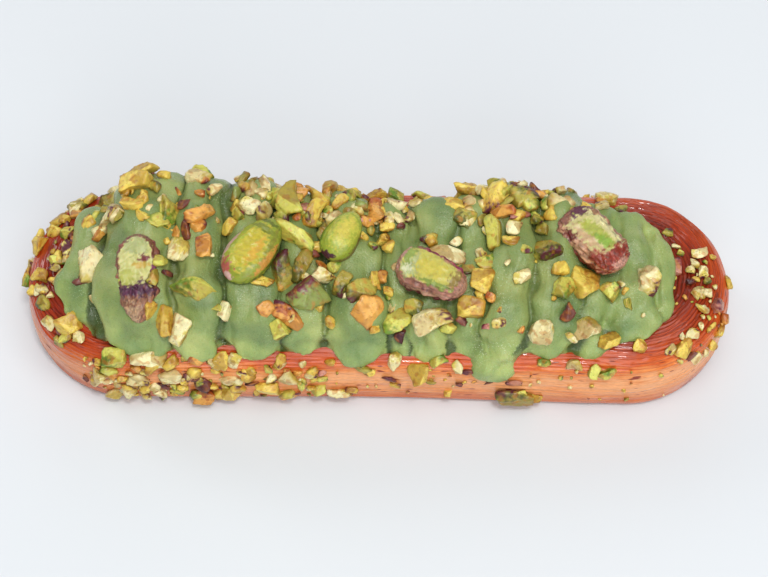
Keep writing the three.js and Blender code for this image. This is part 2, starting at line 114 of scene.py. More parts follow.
def mesh_piece(name, surfaces, **attributes):
    """A smooth-shaded object from closed grids of points in millimetres. Each attribute is an
    array with one number, three (a place) or four (a colour) for every point."""
    points, quads = joined(surfaces)
    mesh = bpy.data.meshes.new(name)
    mesh.from_pydata((points * MM).tolist(), [], quads.tolist())
    for key, values in attributes.items():
        flat = values.reshape(len(points), -1)
        kind, field = {1: ("FLOAT", "value"), 3: ("FLOAT_VECTOR", "vector")}.get(
            flat.shape[1], ("FLOAT_COLOR", "color")
        )
        mesh.attributes.new(key, kind, "POINT").data.foreach_set(field, flat.ravel())
    shell = bmesh.new()
    shell.from_mesh(mesh)
    bmesh.ops.remove_doubles(shell, verts=shell.verts, dist=MERGE)
    bmesh.ops.recalc_face_normals(shell, faces=shell.faces)
    shell.to_mesh(mesh)
    shell.free()
    mesh.shade_smooth()
    piece = bpy.data.objects.new(name, mesh)
    bpy.context.collection.objects.link(piece)
    print(name, len(mesh.polygons), "faces")
    return piece


def place(piece, slot, *nodes):
    """Hangs the piece under the root body and hides the solids it stands for. The slot is not used.
    """
    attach(piece, "root")
    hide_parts(*nodes)


# %% [markdown]
# ## Materials from nodes
#
# One small function adds a node: its type, the values for its settings and sockets, and the
# links into its inputs. Everything below is wired with it.

# %% Material helpers
def add(tree, kind, links=None, **settings):
    """Adds a node. links maps an input's name or number to an output. Each setting is a
    property of the node if it has one by that name, and otherwise an input socket."""
    node = tree.nodes.new(kind)
    for key, value in settings.items():
        if hasattr(node, key):
            setattr(node, key, value)
        else:
            node.inputs[key.replace("_", " ")].default_value = value
    for key, output in (links or {}).items():
        tree.links.new(output, node.inputs[key])
    return node


def new_material(name):
    """An empty material, its node tree, and its output node."""
    material = bpy.data.materials.new(name)
    material.use_nodes = True
    material.node_tree.nodes.clear()
    tree = material.node_tree
    return material, tree, add(tree, "ShaderNodeOutputMaterial")


def colour_steps(tree, factor, steps):
    """A colour ramp from (position, hex) pairs."""
    ramp = add(tree, "ShaderNodeValToRGB", {"Fac": factor})
    stops = ramp.color_ramp.elements
    while len(stops) < len(steps):
        stops.new(0.5)
    for stop, (position, colour) in zip(stops, steps):
        stop.position = position
        stop.color = linear(colour)
    return ramp


# %% [markdown]
# ## The dough's outline
#
# Seen from above the dough is a stadium: two half circles joined by straight sides, which the
# oven drew in a little at their middles. Every point of the dough lies on a station round that
# outline and on a row of its side profile. The profile runs from under the middle, round the
# foot, up the wall, over the shoulder and back to the middle of the top.

# %% Outline and profile of the dough
# All sizes are in millimetres. WAIST is how far each side was drawn in, BELLY how far the
# wall swelled out, and RINGED_TOP how far the rings go on past the shoulder.
LENGTH, WIDTH, HEIGHT = 150, 44, 20
WAIST = 0.7
SHOULDER_RUN, SHOULDER_DROP = 9, 6.5
FOOT_RADIUS, BELLY = 2.2, 0.4
RING_PITCH, RING_DEPTH, RINGED_TOP = 0.85, 0.34, 5.8
RADIUS = WIDTH / 2
STRAIGHT = LENGTH - WIDTH
WALL_TOP = HEIGHT - SHOULDER_DROP
STATION_COUNT = 520


def waist_at(x):
    """Narrowing of the sides: 1 less a squared cosine over the straight stretch."""
    inside = np.minimum(np.abs(x) / (STRAIGHT / 2), 1)
    return 1 - WAIST / RADIUS * np.cos(inside * np.pi / 2) ** 2


def stations(count):
    """Evenly spaced places round the stadium: x on the spine, and the angle outwards."""
    bend = np.pi * RADIUS
    ends = np.cumsum([0, bend / 2, STRAIGHT, bend, STRAIGHT, bend / 2])
    walked = np.arange(count) / count * ends[-1]
    spine = np.interp(walked, ends, np.array([1, 1, -1, -1, 1, 1]) * STRAIGHT / 2)
    turn = np.interp(walked, ends, np.array([0, 1, 1, 3, 3, 4]) * np.pi / 2)
    return spine, turn, walked


def profile():
    """Rows of the side profile: inset, height, and the way out of the surface. They lie a
    fifth of a millimetre apart where there are rings, and are few elsewhere."""
    quarter = np.linspace(0, np.pi / 2, 6)[1:]
    under = np.linspace(RADIUS, FOOT_RADIUS, 5)
    rise = np.linspace(0, 1, 34)[1:-1]
    arch = np.linspace(0, np.pi / 2, 84)
    ringed = np.linspace(SHOULDER_RUN, SHOULDER_RUN + RINGED_TOP, 44)[1:]
    plain = np.linspace(SHOULDER_RUN + RINGED_TOP, RADIUS, 6)[1:]
    steep = np.stack([np.cos(arch) / SHOULDER_RUN, np.sin(arch) / SHOULDER_DROP])
    steep /= np.linalg.norm(steep, axis=0)
    flat = np.append(ringed, plain)
    parts = [
        (under, 0 * under, 0 * under, 0 * under - 1),
        (
            FOOT_RADIUS * (1 - np.sin(quarter)),
            FOOT_RADIUS * (1 - np.cos(quarter)),
            np.sin(quarter),
            -np.cos(quarter),
        ),
        (
            -BELLY * np.sin(np.pi * rise),
            FOOT_RADIUS + (WALL_TOP - FOOT_RADIUS) * rise,
            0 * rise + 1,
            0 * rise,
        ),
        (
            SHOULDER_RUN * (1 - np.cos(arch)),
            WALL_TOP + SHOULDER_DROP * np.sin(arch),
            steep[0],
            steep[1],
        ),
        (flat, 0 * flat + HEIGHT, 0 * flat, 0 * flat + 1),
    ]
    return np.concatenate([np.stack(part) for part in parts], axis=1)


# %% [markdown]
# ## The coil
#
# The cut edge of the rolled sheet shows on top as rings, a little under a millimetre apart.
# They are really one spiral, so the ring number grows by exactly one on each walk round the
# outline, and the pattern still meets itself at the seam. Each turn is a rounded ridge with a
# narrow gap beside it, and finer sheets of the lamination show on it as faint lines. At the
# round ends the rings begin at the wall's top, and along the straight sides higher up. Down
# the wall the sheets lie level, and only their faint lines show.

# %% Relief of the layers
SHEETS_PER_TURN = 2
SHEET_DEPTH = 0.07
LUMPS = 0.14
WANDER, SMALL_WANDER = 0.36, 0.09  # in rings
END_START, SIDE_START, RING_FADE = 1, 8, 4
SIDES_TO, ENDS_FROM = 36, 60

spine, turn, walked = stations(STATION_COUNT)
inset, height, out_flat, out_up = profile()
around_outline = 2 * np.pi * walked / (2 * STRAIGHT + 2 * np.pi * RADIUS)
arc = np.append(0, np.cumsum(np.hypot(np.diff(inset), np.diff(height))))
arc -= arc[np.searchsorted(height, WALL_TOP - 0.01)]
print("arc of the profile, mm:", arc[0].round(1), "to", arc[-1].round(1))


def unrolled(stretch):
    """Places on the skin as if it were unrolled: the outline becomes a circle of its own
    length, so that a pattern meets itself, and the third number is the way up the profile.
    A pattern drawn on it comes out longer along the layers, as many times as stretch says."""
    circle = np.stack([np.cos(around_outline), np.sin(around_outline)], -1)
    circle *= (2 * STRAIGHT + 2 * np.pi * RADIUS) / (2 * np.pi) / stretch
    rows = np.broadcast_to(circle, (len(arc), *circle.shape))
    up = np.broadcast_to(arc[:, None, None], (len(arc), len(circle), 1))
    return np.concatenate([rows, up], -1)


def dough_surface(relief):
    """The profile carried round the outline, with each point moved out of the surface."""
    out = RADIUS - inset[:, None] + out_flat[:, None] * relief
    up = np.maximum(height[:, None] + out_up[:, None] * relief, 0)
    x = spine + out * np.cos(turn)
    y = out * np.sin(turn) * waist_at(spine)
    return np.stack([x, y, up + 0 * x], -1)


def layer_relief():
    """Each turn of the sheet is a ridge, 1 - |2 f - 1| ^ 4, where f is the fraction of the
    ring number. The rings start at the wall's top and end where the cream covers them."""
    flowing, tight = unrolled(5), unrolled(3)
    wander = WANDER * uneven(flowing, 6, 1) + SMALL_WANDER * uneven(tight, 2, 2)
    ring = arc[:, None] / RING_PITCH + around_outline / (2 * np.pi) + wander
    ridge = 1 - np.abs(2 * (ring % 1) - 1) ** 4
    end = SHOULDER_RUN + RINGED_TOP
    on_sides = 1 - ease(SIDES_TO, ENDS_FROM, np.abs(spine) + np.abs(RADIUS * np.cos(turn)))
    first = END_START + (SIDE_START - END_START) * on_sides
    ringed = ease(first, first + RING_FADE, arc[:, None])
    ringed = ringed * (1 - ease(end - 1, end, inset))[:, None]
    ringed = ringed * np.clip(1 + 0.6 * uneven(unrolled(4), 4, 3), 0.1, 1.8)
    sheets = np.sin(2 * np.pi * SHEETS_PER_TURN * ring + 1.5 * uneven(unrolled(8), 3, 7))
    off_floor = ease(0.2, 3, height)[:, None]
    relief = ringed * (RING_DEPTH * (ridge - 1) + SHEET_DEPTH * (sheets - 1))
    relief += off_floor * SHEET_DEPTH * (uneven(unrolled(14), 0.9, 4) - 1)
    relief += off_floor * LUMPS * (uneven(unrolled(1.5), 11, 6) - 1)
    return relief, ringed * (1 - ridge)


layer_out, layer_gap = layer_relief()
# The gap attribute carries how deep a point lies in a ring's gap, for the painted shade there.
dough = mesh_piece(
    "laminated_dough", [dough_surface(layer_out)], gap=layer_gap, layers=unrolled(1)
)
place(dough, "crust", "pastry")
print("relief, mm:", layer_out.min().round(2), "to", layer_out.max().round(2))

# %% [markdown]
# ## Baked, glazed dough
#
# The real surface is laminated dough, baked till it browned and brushed with sugar glaze. It
# browns most where it sticks up or lies near the mould's rim, so the wall stays the colour of
# straw and the rings go from orange to dark red-brown. How brown a place is comes from its way
# up the profile, and painted shade adds a little to it the further back a place lies. Two noises
# break this up: patches of about a centimetre, and threads half a millimetre thick that are
# drawn out along the layers.

# %% Crust: how brown each place is
BROWNING_RUN = 14  # millimetres of profile below and above the wall's top
# The back share is painted shade: it moves the back further along the browning ramp, so the back is
# darker.
BACK_EDGE, BACK_SHADE = 0.022, 0.03  # metres, and a share of the browning
PATCH_SHARE, THREAD_SHARE = 0.4, 0.36

crust, tree, output = new_material("glazed_laminated_crust")
in_dough = add(tree, "ShaderNodeTexCoord").outputs["Object"]
layers = add(tree, "ShaderNodeAttribute", attribute_name="layers").outputs["Vector"]
gap = add(tree, "ShaderNodeAttribute", attribute_name="gap").outputs["Fac"]
upwards = add(tree, "ShaderNodeSeparateXYZ", {0: layers}).outputs[2]
stretched = add(tree, "ShaderNodeMapping", {0: layers}, Scale=(0.07, 0.07, 1)).outputs[0]
patches = add(tree, "ShaderNodeTexNoise", {"Vector": in_dough}, Scale=90, Detail=4)
threads = add(tree, "ShaderNodeTexNoise", {"Vector": stretched}, Scale=2.2, Detail=5)
browned = add(
    tree,
    "ShaderNodeMapRange",
    {"Value": upwards},
    From_Min=-BROWNING_RUN,
    From_Max=BROWNING_RUN,
    clamp=False,
).outputs[0]
leftwards, backwards, _ = add(tree, "ShaderNodeSeparateXYZ", {0: in_dough}).outputs
# Painted shade: the further back a place lies, the further along the browning ramp it goes, so the
# back is darker.
back_shade = add(
    tree,
    "ShaderNodeMapRange",
    {"Value": backwards},
    From_Min=-BACK_EDGE,
    From_Max=BACK_EDGE,
    To_Min=-BACK_SHADE,
    To_Max=BACK_SHADE,
).outputs[0]
browned = add(tree, "ShaderNodeMath", {0: browned, 1: back_shade}, operation="ADD").outputs[0]
for texture, share in ((patches, PATCH_SHARE), (threads, THREAD_SHARE)):
    centred = add(tree, "ShaderNodeMath", {0: texture.outputs[0]}, operation="MULTIPLY_ADD")
    centred.inputs[1].default_value = share
    centred.inputs[2].default_value = -share / 2
    browned = add(
        tree, "ShaderNodeMath", {0: browned, 1: centred.outputs[0]}, operation="ADD"
    ).outputs[0]

# %% [markdown]
# One ramp gives the colour of a ridge for how brown it is, and a darker one that of a gap, as
# painted shade in the gaps between rings. Two more patterns run along the layers: strands, which
# make the sheets a tenth lighter or darker, and short dark slits, where a sheet has torn. Towards
# the left end the top, and less so the wall, is multiplied by a brown.

# %% Crust: colours, strands and slits
# The lowest stop darkens the wall's foot: partly browning at the foot, partly painted shade where
# the wall meets the floor.
RIDGE_STEPS = [
    (0.06, "#c9662f"),
    (0.22, "#e59358"),
    (0.36, "#efa870"),
    (0.48, "#e1843f"),
    (0.58, "#cc5820"),
    (0.78, "#a63914"),
    (0.95, "#852a14"),
]
# Painted shade in the gaps between rings: a darker copy of the ridge colours.
GAP_SHADE_STEPS = [(0.4, "#c05a28"), (0.62, "#932f10"), (0.95, "#5e1d0c")]
SLIT_STEPS = [(0.69, "#000000"), (0.74, "#ffffff")]

torn = add(tree, "ShaderNodeMapping", {0: layers}, Scale=(0.22, 0.22, 1)).outputs[0]
slits = add(tree, "ShaderNodeTexNoise", {"Vector": torn}, Scale=1.1, Detail=1)
slit_mask = colour_steps(tree, slits.outputs[0], SLIT_STEPS)
strands = add(tree, "ShaderNodeTexNoise", {"Vector": torn}, Scale=4.5, Detail=3)
strand_tone = add(
    tree,
    "ShaderNodeMapRange",
    {"Value": strands.outputs[0]},
    From_Min=0.3,
    From_Max=0.7,
    To_Min=0.9,
    To_Max=1.12,
)
ridge_colour = colour_steps(tree, browned, RIDGE_STEPS)
gap_shade_colour = colour_steps(tree, browned, GAP_SHADE_STEPS)
crust_colour = add(
    tree,
    "ShaderNodeMix",
    {0: gap, 6: ridge_colour.outputs[0], 7: gap_shade_colour.outputs[0]},
    data_type="RGBA",
)
stranded = add(
    tree,
    "ShaderNodeVectorMath",
    {0: crust_colour.outputs[2], 3: strand_tone.outputs[0]},
    operation="SCALE",
)
slitted = add(
    tree, "ShaderNodeMix", {0: slit_mask.outputs[0], 6: stranded.outputs[0]}, data_type="RGBA"
)
slitted.inputs[7].default_value = linear("#8a3418")
# Towards the left end the colour is multiplied by a brown, fully on the top and about a third as
# much low on the wall.
toward_left_end = add(
    tree, "ShaderNodeMapRange", {"Value": leftwards}, From_Min=-0.035, From_Max=-0.068, To_Max=0.7
)
near_top = add(
    tree, "ShaderNodeMapRange", {"Value": upwards}, From_Min=-12, From_Max=2, To_Min=0.35
)
left_end_darkening = add(
    tree, "ShaderNodeMath", {0: toward_left_end.outputs[0], 1: near_top.outputs[0]}, operation="MULTIPLY"
)
browner = add(
    tree,
    "ShaderNodeMix",
    {0: left_end_darkening.outputs[0], 6: slitted.outputs[2]},
    data_type="RGBA",
    blend_type="MULTIPLY",
)
browner.inputs[7].default_value = linear("#d28d68")

# %% [markdown]
# Sugar glaze is a clear coat that ran smooth, so the shader's coat stands for it: almost
# polished, over dough that hardly shines itself. Where the glaze pooled it ripples, which
# breaks its highlights into short white streaks, so the coat has a bump of its own. Under it
# the threads and a fine crumb, drawn at two thirds of a millimetre so that it shows, roughen
# the dough.

# %% Crust: crumb and glaze
crumb = add(tree, "ShaderNodeTexNoise", {"Vector": in_dough}, Scale=1400, Detail=4)
thread_bump = add(
    tree, "ShaderNodeBump", {"Height": threads.outputs[0]}, Strength=0.6, Distance=0.0004
)
crumb_bump = add(
    tree,
    "ShaderNodeBump",
    {"Height": crumb.outputs[0], "Normal": thread_bump.outputs[0]},
    Strength=0.4,
    Distance=0.0002,
)
pooled = add(tree, "ShaderNodeTexNoise", {"Vector": torn}, Scale=0.9, Detail=2)
glaze_bump = add(
    tree, "ShaderNodeBump", {"Height": pooled.outputs[0]}, Strength=0.35, Distance=0.0004
)
glazed = add(tree, "ShaderNodeMapRange", {"Value": upwards}, From_Min=-3, From_Max=3)
shine = add(
    tree, "ShaderNodeMapRange", {"Value": glazed.outputs[0]}, To_Min=0.55, To_Max=0.35
)
crust_shader = add(
    tree,
    "ShaderNodeBsdfPrincipled",
    {
        "Base Color": browner.outputs[2],
        "Roughness": shine.outputs[0],
        "Normal": crumb_bump.outputs[0],
        "Coat Normal": glaze_bump.outputs[0],
    },
    Specular_IOR_Level=0.12,
    Coat_Weight=0.8,
    Coat_Roughness=0.06,
)
tree.links.new(crust_shader.outputs[0], output.inputs[0])
dough.data.materials.append(crust)
print("crust material:", len(tree.nodes), "nodes")

# %% [markdown]
# ## The cream's strokes
#
# The cream was piped in strokes from the front edge over to the back. Each stroke is an oval
# section carried from tip to tip: its width follows a blunt superellipse, its thickness climbs
# gently at the front and ends steeply at the back, and it rests on the dough, so its tips drape
# down over the shoulder.

# %% Stroke shapes
# Each row: the tip at the front and the tip at the back, the bow to the right between them,
# the widths at front and back, and the thickness
STROKES = [
    ((-60.8, -11.4), (-57.2, 11.5), -0.4, (15.4, 12), 6.8),
    ((-48.2, -21), (-46.6, 19), -1.6, (18.4, 16), 14.6),
    ((-37, -21.2), (-35.8, 19), -0.6, (13.4, 12.5), 13.8),
    ((-25.8, -21.2), (-27.8, 18.8), 0.4, (15.6, 12.4), 12.4),
    ((-15, -20.2), (-18.4, 17), 0.6, (12.4, 12.4), 11),
    ((-4, -21.5), (-8.2, 16.4), 1, (15.4, 13), 10.4),
    ((4.8, -17.4), (2.6, 14.6), 0.6, (9.6, 10.4), 8.8),
    ((10.8, -20.9), (12.2, 16), 0, (10.6, 13.4), 9),
    ((19.4, -19.6), (20.8, 17.6), 0.4, (12.4, 10), 9.4),
    ((24.8, -21.7), (29.2, 19), 1.4, (11.6, 13), 12),
    ((35.6, -20.4), (38.4, 17.2), 0.8, (12.6, 12.6), 10.4),
    ((44.6, -16.6), (46.2, 15.2), 0.5, (11.4, 11.4), 6.8),
    ((52.4, -17.6), (52.8, 13.6), 0.6, (12.4, 11.6), 5.8),
    ((58, -12.4), (57.2, 11.6), 0.8, (7.2, 7.2), 4.6),
]
# TIP_POWER says how blunt a tip is, and CREST how far back, from -1 to 1, a stroke is thickest
TIP_POWER, CREST = 7, 0.3
FRONT_SLOPE, BACK_SLOPE = 3, 4
# REST is the share of the thickness below a stroke's widest line, SINK how far it presses in
REST, SINK = 0.42, 1.4
TIP_HANG = 20.8
# Centres and radii of the two rounds of the tongue that hangs over the wall, and of the swells
# where strokes ran together at the front
TONGUES = [((24.6, -19.8, 15.6), (5, 3.8, 5)), ((25.1, -17.8, 18), (5.7, 5, 4.6))]
SWELLS = [
    ((-59.6, -10.8, 19.8), (6.6, 4.4, 3.7)),
    ((-54.8, -14.2, 19.6), (4.4, 4.6, 3.6)),
    ((30.4, -16.4, 19.4), (3.8, 4.2, 3.6)),
]


def dough_top(x, y):
    """Height of the smooth dough: level inside the shoulder, a quarter ellipse over it."""
    beyond = np.maximum(np.abs(x) - STRAIGHT / 2, 0)
    inwards = np.clip((RADIUS - np.hypot(beyond, y / waist_at(x))) / SHOULDER_RUN, 0, 1)
    return WALL_TOP + SHOULDER_DROP * np.sqrt(1 - (1 - inwards) ** 2)


def stroke_form(stroke, along):
    """Centre line, half width and thickness of a stroke at places from -1, front, to 1, back."""
    (front_x, front_y), (back_x, back_y), bow, (width_front, width_back), thick = stroke
    share = (along + 1) / 2
    x = front_x + (back_x - front_x) * share + bow * (1 - along**2)
    y = front_y + (back_y - front_y) * share
    reach = np.sqrt(np.maximum(1 - np.abs(along) ** TIP_POWER, 0))
    half_width = (width_front + (width_back - width_front) * share) / 2 * reach
    climbing = along < CREST
    away = np.abs(along - CREST) / np.where(climbing, 1 + CREST, 1 - CREST)
    rise = thick * np.sqrt(np.maximum(1 - away ** np.where(climbing, FRONT_SLOPE, BACK_SLOPE), 0))
    return x, y, reach, half_width, rise


def stroke_surface(stroke, around=64, rows=90):
    """Oval section at each place: up by the share of the thickness above its widest line,
    down by the rest and a little into the dough."""
    along = -np.cos(np.pi * np.linspace(0, 1, rows))[:, None]
    angle = np.linspace(0, 2 * np.pi, around, endpoint=False)[None]
    x, y, reach, half_width, rise = stroke_form(stroke, along)
    upward = np.sin(angle)
    lift = np.where(upward > 0, rise * (1 - REST), rise * REST + SINK * reach) * upward
    across = x + half_width * np.cos(angle)
    rest = dough_top(x, np.clip(y, -TIP_HANG, TIP_HANG))
    return np.stack([across, y + 0 * angle, rest + rise * REST + lift], -1)


# %% [markdown]
# ## One mass of cream
#
# Real strokes run together where they touch. A low mound fills the space under them, and a
# voxel remesh turns the overlapping ovals into one skin, which a few rounds of smoothing relax,
# so that the creases between strokes stay narrow but not knife-sharp. Sculpting by hand would
# also do, but a remesh follows when a stroke is moved.

# %% The cream's mound, rounds and sizes
MOUND_SCALE, MOUND_CENTRE = (0.855, 0.727), (-3.5, -3)
MOUND_EDGE, MOUND_RUN, MOUND_RISE = 18.8, 12, 7.5
VOXEL = 0.42
STREAK_WIDTH, STREAK_DEPTH = 2.4, 0.06
CREASE_DEPTH, CREASE_WIDTH = 1.2, 1.1
CREAM_LUMPS, CREAM_SWELLS = 0.2, 0.5
FOLD_REACH, FOLD_DEPTH = 2.6, 3
SWAY = 0.3
RELAX_SHARE, RELAX_ROUNDS = 0.5, 5


def mound_surface():
    """The dough's outline made smaller, with a side that climbs as a sine."""
    climb = np.linspace(0, np.pi / 2, 20)
    edge = np.concatenate([[RADIUS, 0], MOUND_RUN * climb * 2 / np.pi, [RADIUS]])[:, None]
    top = MOUND_EDGE + MOUND_RISE * np.sin(climb)
    level = np.concatenate([[WALL_TOP, WALL_TOP], top, top[-1:]])[:, None]
    x = (spine + (RADIUS - edge) * np.cos(turn)) * MOUND_SCALE[0] + MOUND_CENTRE[0]
    y = (RADIUS - edge) * np.sin(turn) * MOUND_SCALE[1] + MOUND_CENTRE[1]
    return np.stack([x, y, level + 0 * x], -1)


def round_surface(centre, radii, around=48, rows=30):
    """A sphere drawn out to three radii, as a tongue or a swell of cream."""
    turned = np.linspace(0, 2 * np.pi, around, endpoint=False)[None]
    climb = np.linspace(-np.pi / 2, np.pi / 2, rows)[:, None]
    flat = np.cos(climb)
    ball = [flat * np.cos(turned), flat * np.sin(turned), np.sin(climb) + 0 * turned]
    return np.stack(ball, -1) * radii + centre


print("strokes:", len(STROKES), "voxel, mm:", VOXEL)


# %% [markdown]
# The skin then gets what a piping nozzle and a hand leave: a slight sway of each stroke,
# shallow streaks that follow it, a crease where it meets the next, and a slight lumpiness.
# All of it comes from how thick every stroke is over a point: the thickest one lies on top
# there. How deep each point lies in a fold is kept as an attribute, for the material, which
# paints shade into the folds.

# %% Streaks, creases, folds and sway
def points_and_normals(mesh):
    """Vertex positions in millimetres, and vertex normals."""
    count = len(mesh.vertices)
    positions, normals = np.empty(count * 3), np.empty(count * 3)
    mesh.vertices.foreach_get("co", positions)
    mesh.vertex_normals.foreach_get("vector", normals)
    return positions.reshape(-1, 3) / MM, normals.reshape(-1, 3)


def stroke_heights(points):
    """How thick each stroke is over each point, and how far the point lies beside its middle."""
    heights, offsets = [], []
    for stroke in STROKES:
        front_y, back_y = stroke[0][1], stroke[1][1]
        along = np.clip(2 * (points[:, 1] - front_y) / (back_y - front_y) - 1, -0.98, 0.98)
        x, _, _, half_width, rise = stroke_form(stroke, along)
        offset = points[:, 0] - x
        crown = np.sqrt(np.maximum(1 - (offset / half_width) ** 2, 0))
        heights.append(np.where(crown > 0, rise * (REST + (1 - REST) * crown), 0))
        offsets.append(offset)
    return np.array(heights), np.array(offsets)


def on_the_dough(points):
    """1 over the dough's top, 0 where the tongue hangs in front of it."""
    return ease(-TIP_HANG - 0.6, -TIP_HANG + 0.6, points[:, 1])


def nozzle_relief(points):
    """Streaks along the stroke that lies on top at each point: a random field that is ten
    times longer along the stroke than across it, a different one on each stroke. Where the
    two highest strokes are equally high there is a crease, exp(-(difference / width) ^ 2)."""
    heights, offsets = stroke_heights(points)
    owner = np.argmax(heights, axis=0)
    offset = np.take_along_axis(offsets, owner[None], axis=0)[0]
    streaks = uneven(np.stack([offset + 31 * owner, 0.1 * points[:, 1]], -1), STREAK_WIDTH, 11)
    highest, second = -np.sort(-heights, axis=0)[:2]
    crease = np.exp(-(((highest - second) / CREASE_WIDTH) ** 2))
    crease *= 0.7 + 0.3 * uneven(points, 8, 13)
    relief = STREAK_DEPTH * streaks + CREAM_LUMPS * uneven(points, 5, 12)
    relief += CREAM_SWELLS * (uneven(points, 11, 14) - 0.5)
    return relief - CREASE_DEPTH * crease * ease(0.5, 3, second) * on_the_dough(points)


def folds(points):
    """How deep each point lies in a fold: the mean height a little to the left and right of
    it, less its own."""
    beside = [points + [step, 0, 0] for step in (-FOLD_REACH, FOLD_REACH)]
    banks = sum(stroke_heights(place)[0].max(0) for place in beside) / 2
    deep = ease(0.5, FOLD_DEPTH, banks - stroke_heights(points)[0].max(0))
    return deep * on_the_dough(points)


def swayed(points):
    """How far a hand that piped the strokes strayed to the side and along, at each point."""
    return SWAY * np.stack([uneven(points, 9, 31), 0.5 * uneven(points, 7, 33)], -1)


# %% [markdown]
# Now the ovals, the mound and the rounds are joined, remeshed and relaxed, and the result is
# taken as the piece's own mesh, because its points are to be moved once more. A search tree of
# the skin is kept for the nuts, which will lie on it.

# %% The cream as one skin
strokes = [stroke_surface(stroke) for stroke in STROKES]
rounds = [round_surface(*sizes) for sizes in TONGUES + SWELLS]
cream = mesh_piece("piped_cream", [mound_surface(), *rounds, *strokes])
remesh = cream.modifiers.new("run together", "REMESH")
remesh.mode = "VOXEL"
remesh.voxel_size = VOXEL * MM
relax = cream.modifiers.new("relax", "SMOOTH")
relax.factor = RELAX_SHARE
relax.iterations = RELAX_ROUNDS
evaluated = cream.evaluated_get(bpy.context.evaluated_depsgraph_get())
skin = bpy.data.meshes.new_from_object(evaluated)
cream.modifiers.clear()
cream.data = skin

skin_points, skin_normals = points_and_normals(skin)
fold_depth, streaks_and_creases = folds(skin_points), nozzle_relief(skin_points)
skin_points[:, :2] += swayed(skin_points)
cream_tree = BVHTree.FromPolygons(
    skin_points.tolist(), [tuple(face.vertices) for face in skin.polygons]
)
# The fold attribute says how deep a point lies in a fold, for the painted shade there.
skin.attributes.new("fold", "FLOAT", "POINT").data.foreach_set("value", fold_depth)
skin_points += skin_normals * streaks_and_creases[:, None]
skin.vertices.foreach_set("co", (skin_points * MM).ravel())
skin.update()
skin.shade_smooth()
place(cream, "cream", "cream")
print("cream skin:", len(skin.polygons), "faces, top", skin_points[:, 2].max().round(1), "mm")

# %% [markdown]
# ## Pistachio cream
#
# The real one is butter and sugar beaten with ground pistachio: satin, a little see-through and
# grainy. Its green is cloudy, with paler and deeper patches of about a centimetre, and specks
# of ground nut two thirds of a millimetre wide lie in it. Shade is painted darker into the
# folds between strokes, and painted light makes it lighter low down at its thin front edges,
# while painted shade makes it a little darker high up.

# %% Cream: colour
CREAM_STEPS = [(0.3, "#687f4a"), (0.5, "#869856"), (0.72, "#a6af68")]
# Painted light and shade by height: the cream's colour is multiplied by 1.34 at the lower height
# and by 0.92 at the upper one.
LIGHT_BY_HEIGHT_RANGE, LIGHT_BY_HEIGHT_TONES = (0.016, 0.03), (1.34, 0.92)  # metres above the floor

nut_cream, tree, output = new_material("pistachio_cream")
place_in_cream = add(tree, "ShaderNodeTexCoord").outputs["Object"]
cloudy = add(tree, "ShaderNodeTexNoise", {"Vector": place_in_cream}, Scale=110, Detail=5)
cream_tone = colour_steps(tree, cloudy.outputs[0], CREAM_STEPS)
specks = add(tree, "ShaderNodeTexVoronoi", {"Vector": place_in_cream}, Scale=1500)
speck_mask = colour_steps(tree, specks.outputs[0], [(0.0, "#ffffff"), (0.16, "#000000")])
cream_colour = add(
    tree, "ShaderNodeMix", {0: speck_mask.outputs[0], 6: cream_tone.outputs[0]}, data_type="RGBA"
)
cream_colour.inputs[7].default_value = linear("#6d8043")
# Painted shade: the colour is multiplied by a grey-green where a point lies deep in a fold.
fold = add(tree, "ShaderNodeAttribute", attribute_name="fold").outputs["Fac"]
fold_shaded = add(
    tree,
    "ShaderNodeMix",
    {0: fold, 6: cream_colour.outputs[2]},
    data_type="RGBA",
    blend_type="MULTIPLY",
)
fold_shaded.inputs[7].default_value = linear("#74806a")
above_floor = add(tree, "ShaderNodeSeparateXYZ", {0: place_in_cream}).outputs[2]
# Painted light on the low hanging tips, and painted shade high up.
light_by_height = add(
    tree,
    "ShaderNodeMapRange",
    {"Value": above_floor},
    From_Min=LIGHT_BY_HEIGHT_RANGE[0],
    From_Max=LIGHT_BY_HEIGHT_RANGE[1],
    To_Min=LIGHT_BY_HEIGHT_TONES[0],
    To_Max=LIGHT_BY_HEIGHT_TONES[1],
)
height_lit = add(
    tree, "ShaderNodeVectorMath", {0: fold_shaded.outputs[2], 3: light_by_height.outputs[0]}, operation="SCALE"
)

# %% [markdown]
# In places grains in the cream's skin catch the light, and these glints are painted into its
# colour as small pale points, kept to some areas by a slow noise. The grain of the ground nuts
# is drawn at about a third of a millimetre, the smallest that still shows, as bump and as a
# roughness that changes from grain to grain.

# %% Cream: painted glints and satin surface
# Painted glints: pale points mixed into the colour, in patches set by a slow noise.
glint_cells = add(tree, "ShaderNodeTexVoronoi", {"Vector": place_in_cream}, Scale=2400)
glint_patches = add(tree, "ShaderNodeTexNoise", {"Vector": place_in_cream}, Scale=130, Detail=2)
glint_dot_mask = colour_steps(tree, glint_cells.outputs[0], [(0.12, "#ffffff"), (0.26, "#000000")])
glint_patch_mask = colour_steps(tree, glint_patches.outputs[0], [(0.5, "#000000"), (0.7, "#ffffff")])
painted_glints = add(
    tree,
    "ShaderNodeMath",
    {0: glint_dot_mask.outputs[0], 1: glint_patch_mask.outputs[0]},
    operation="MULTIPLY",
)
glinted = add(
    tree, "ShaderNodeMix", {0: painted_glints.outputs[0], 6: height_lit.outputs[0]}, data_type="RGBA"
)
glinted.inputs[7].default_value = linear("#d0dcb6")
grain = add(tree, "ShaderNodeTexNoise", {"Vector": place_in_cream}, Scale=2600, Detail=3)
grain_bump = add(
    tree, "ShaderNodeBump", {"Height": grain.outputs[0]}, Strength=0.55, Distance=0.0003
)
satin = add(tree, "ShaderNodeMapRange", {"Value": grain.outputs[0]}, To_Min=0.1, To_Max=0.55)
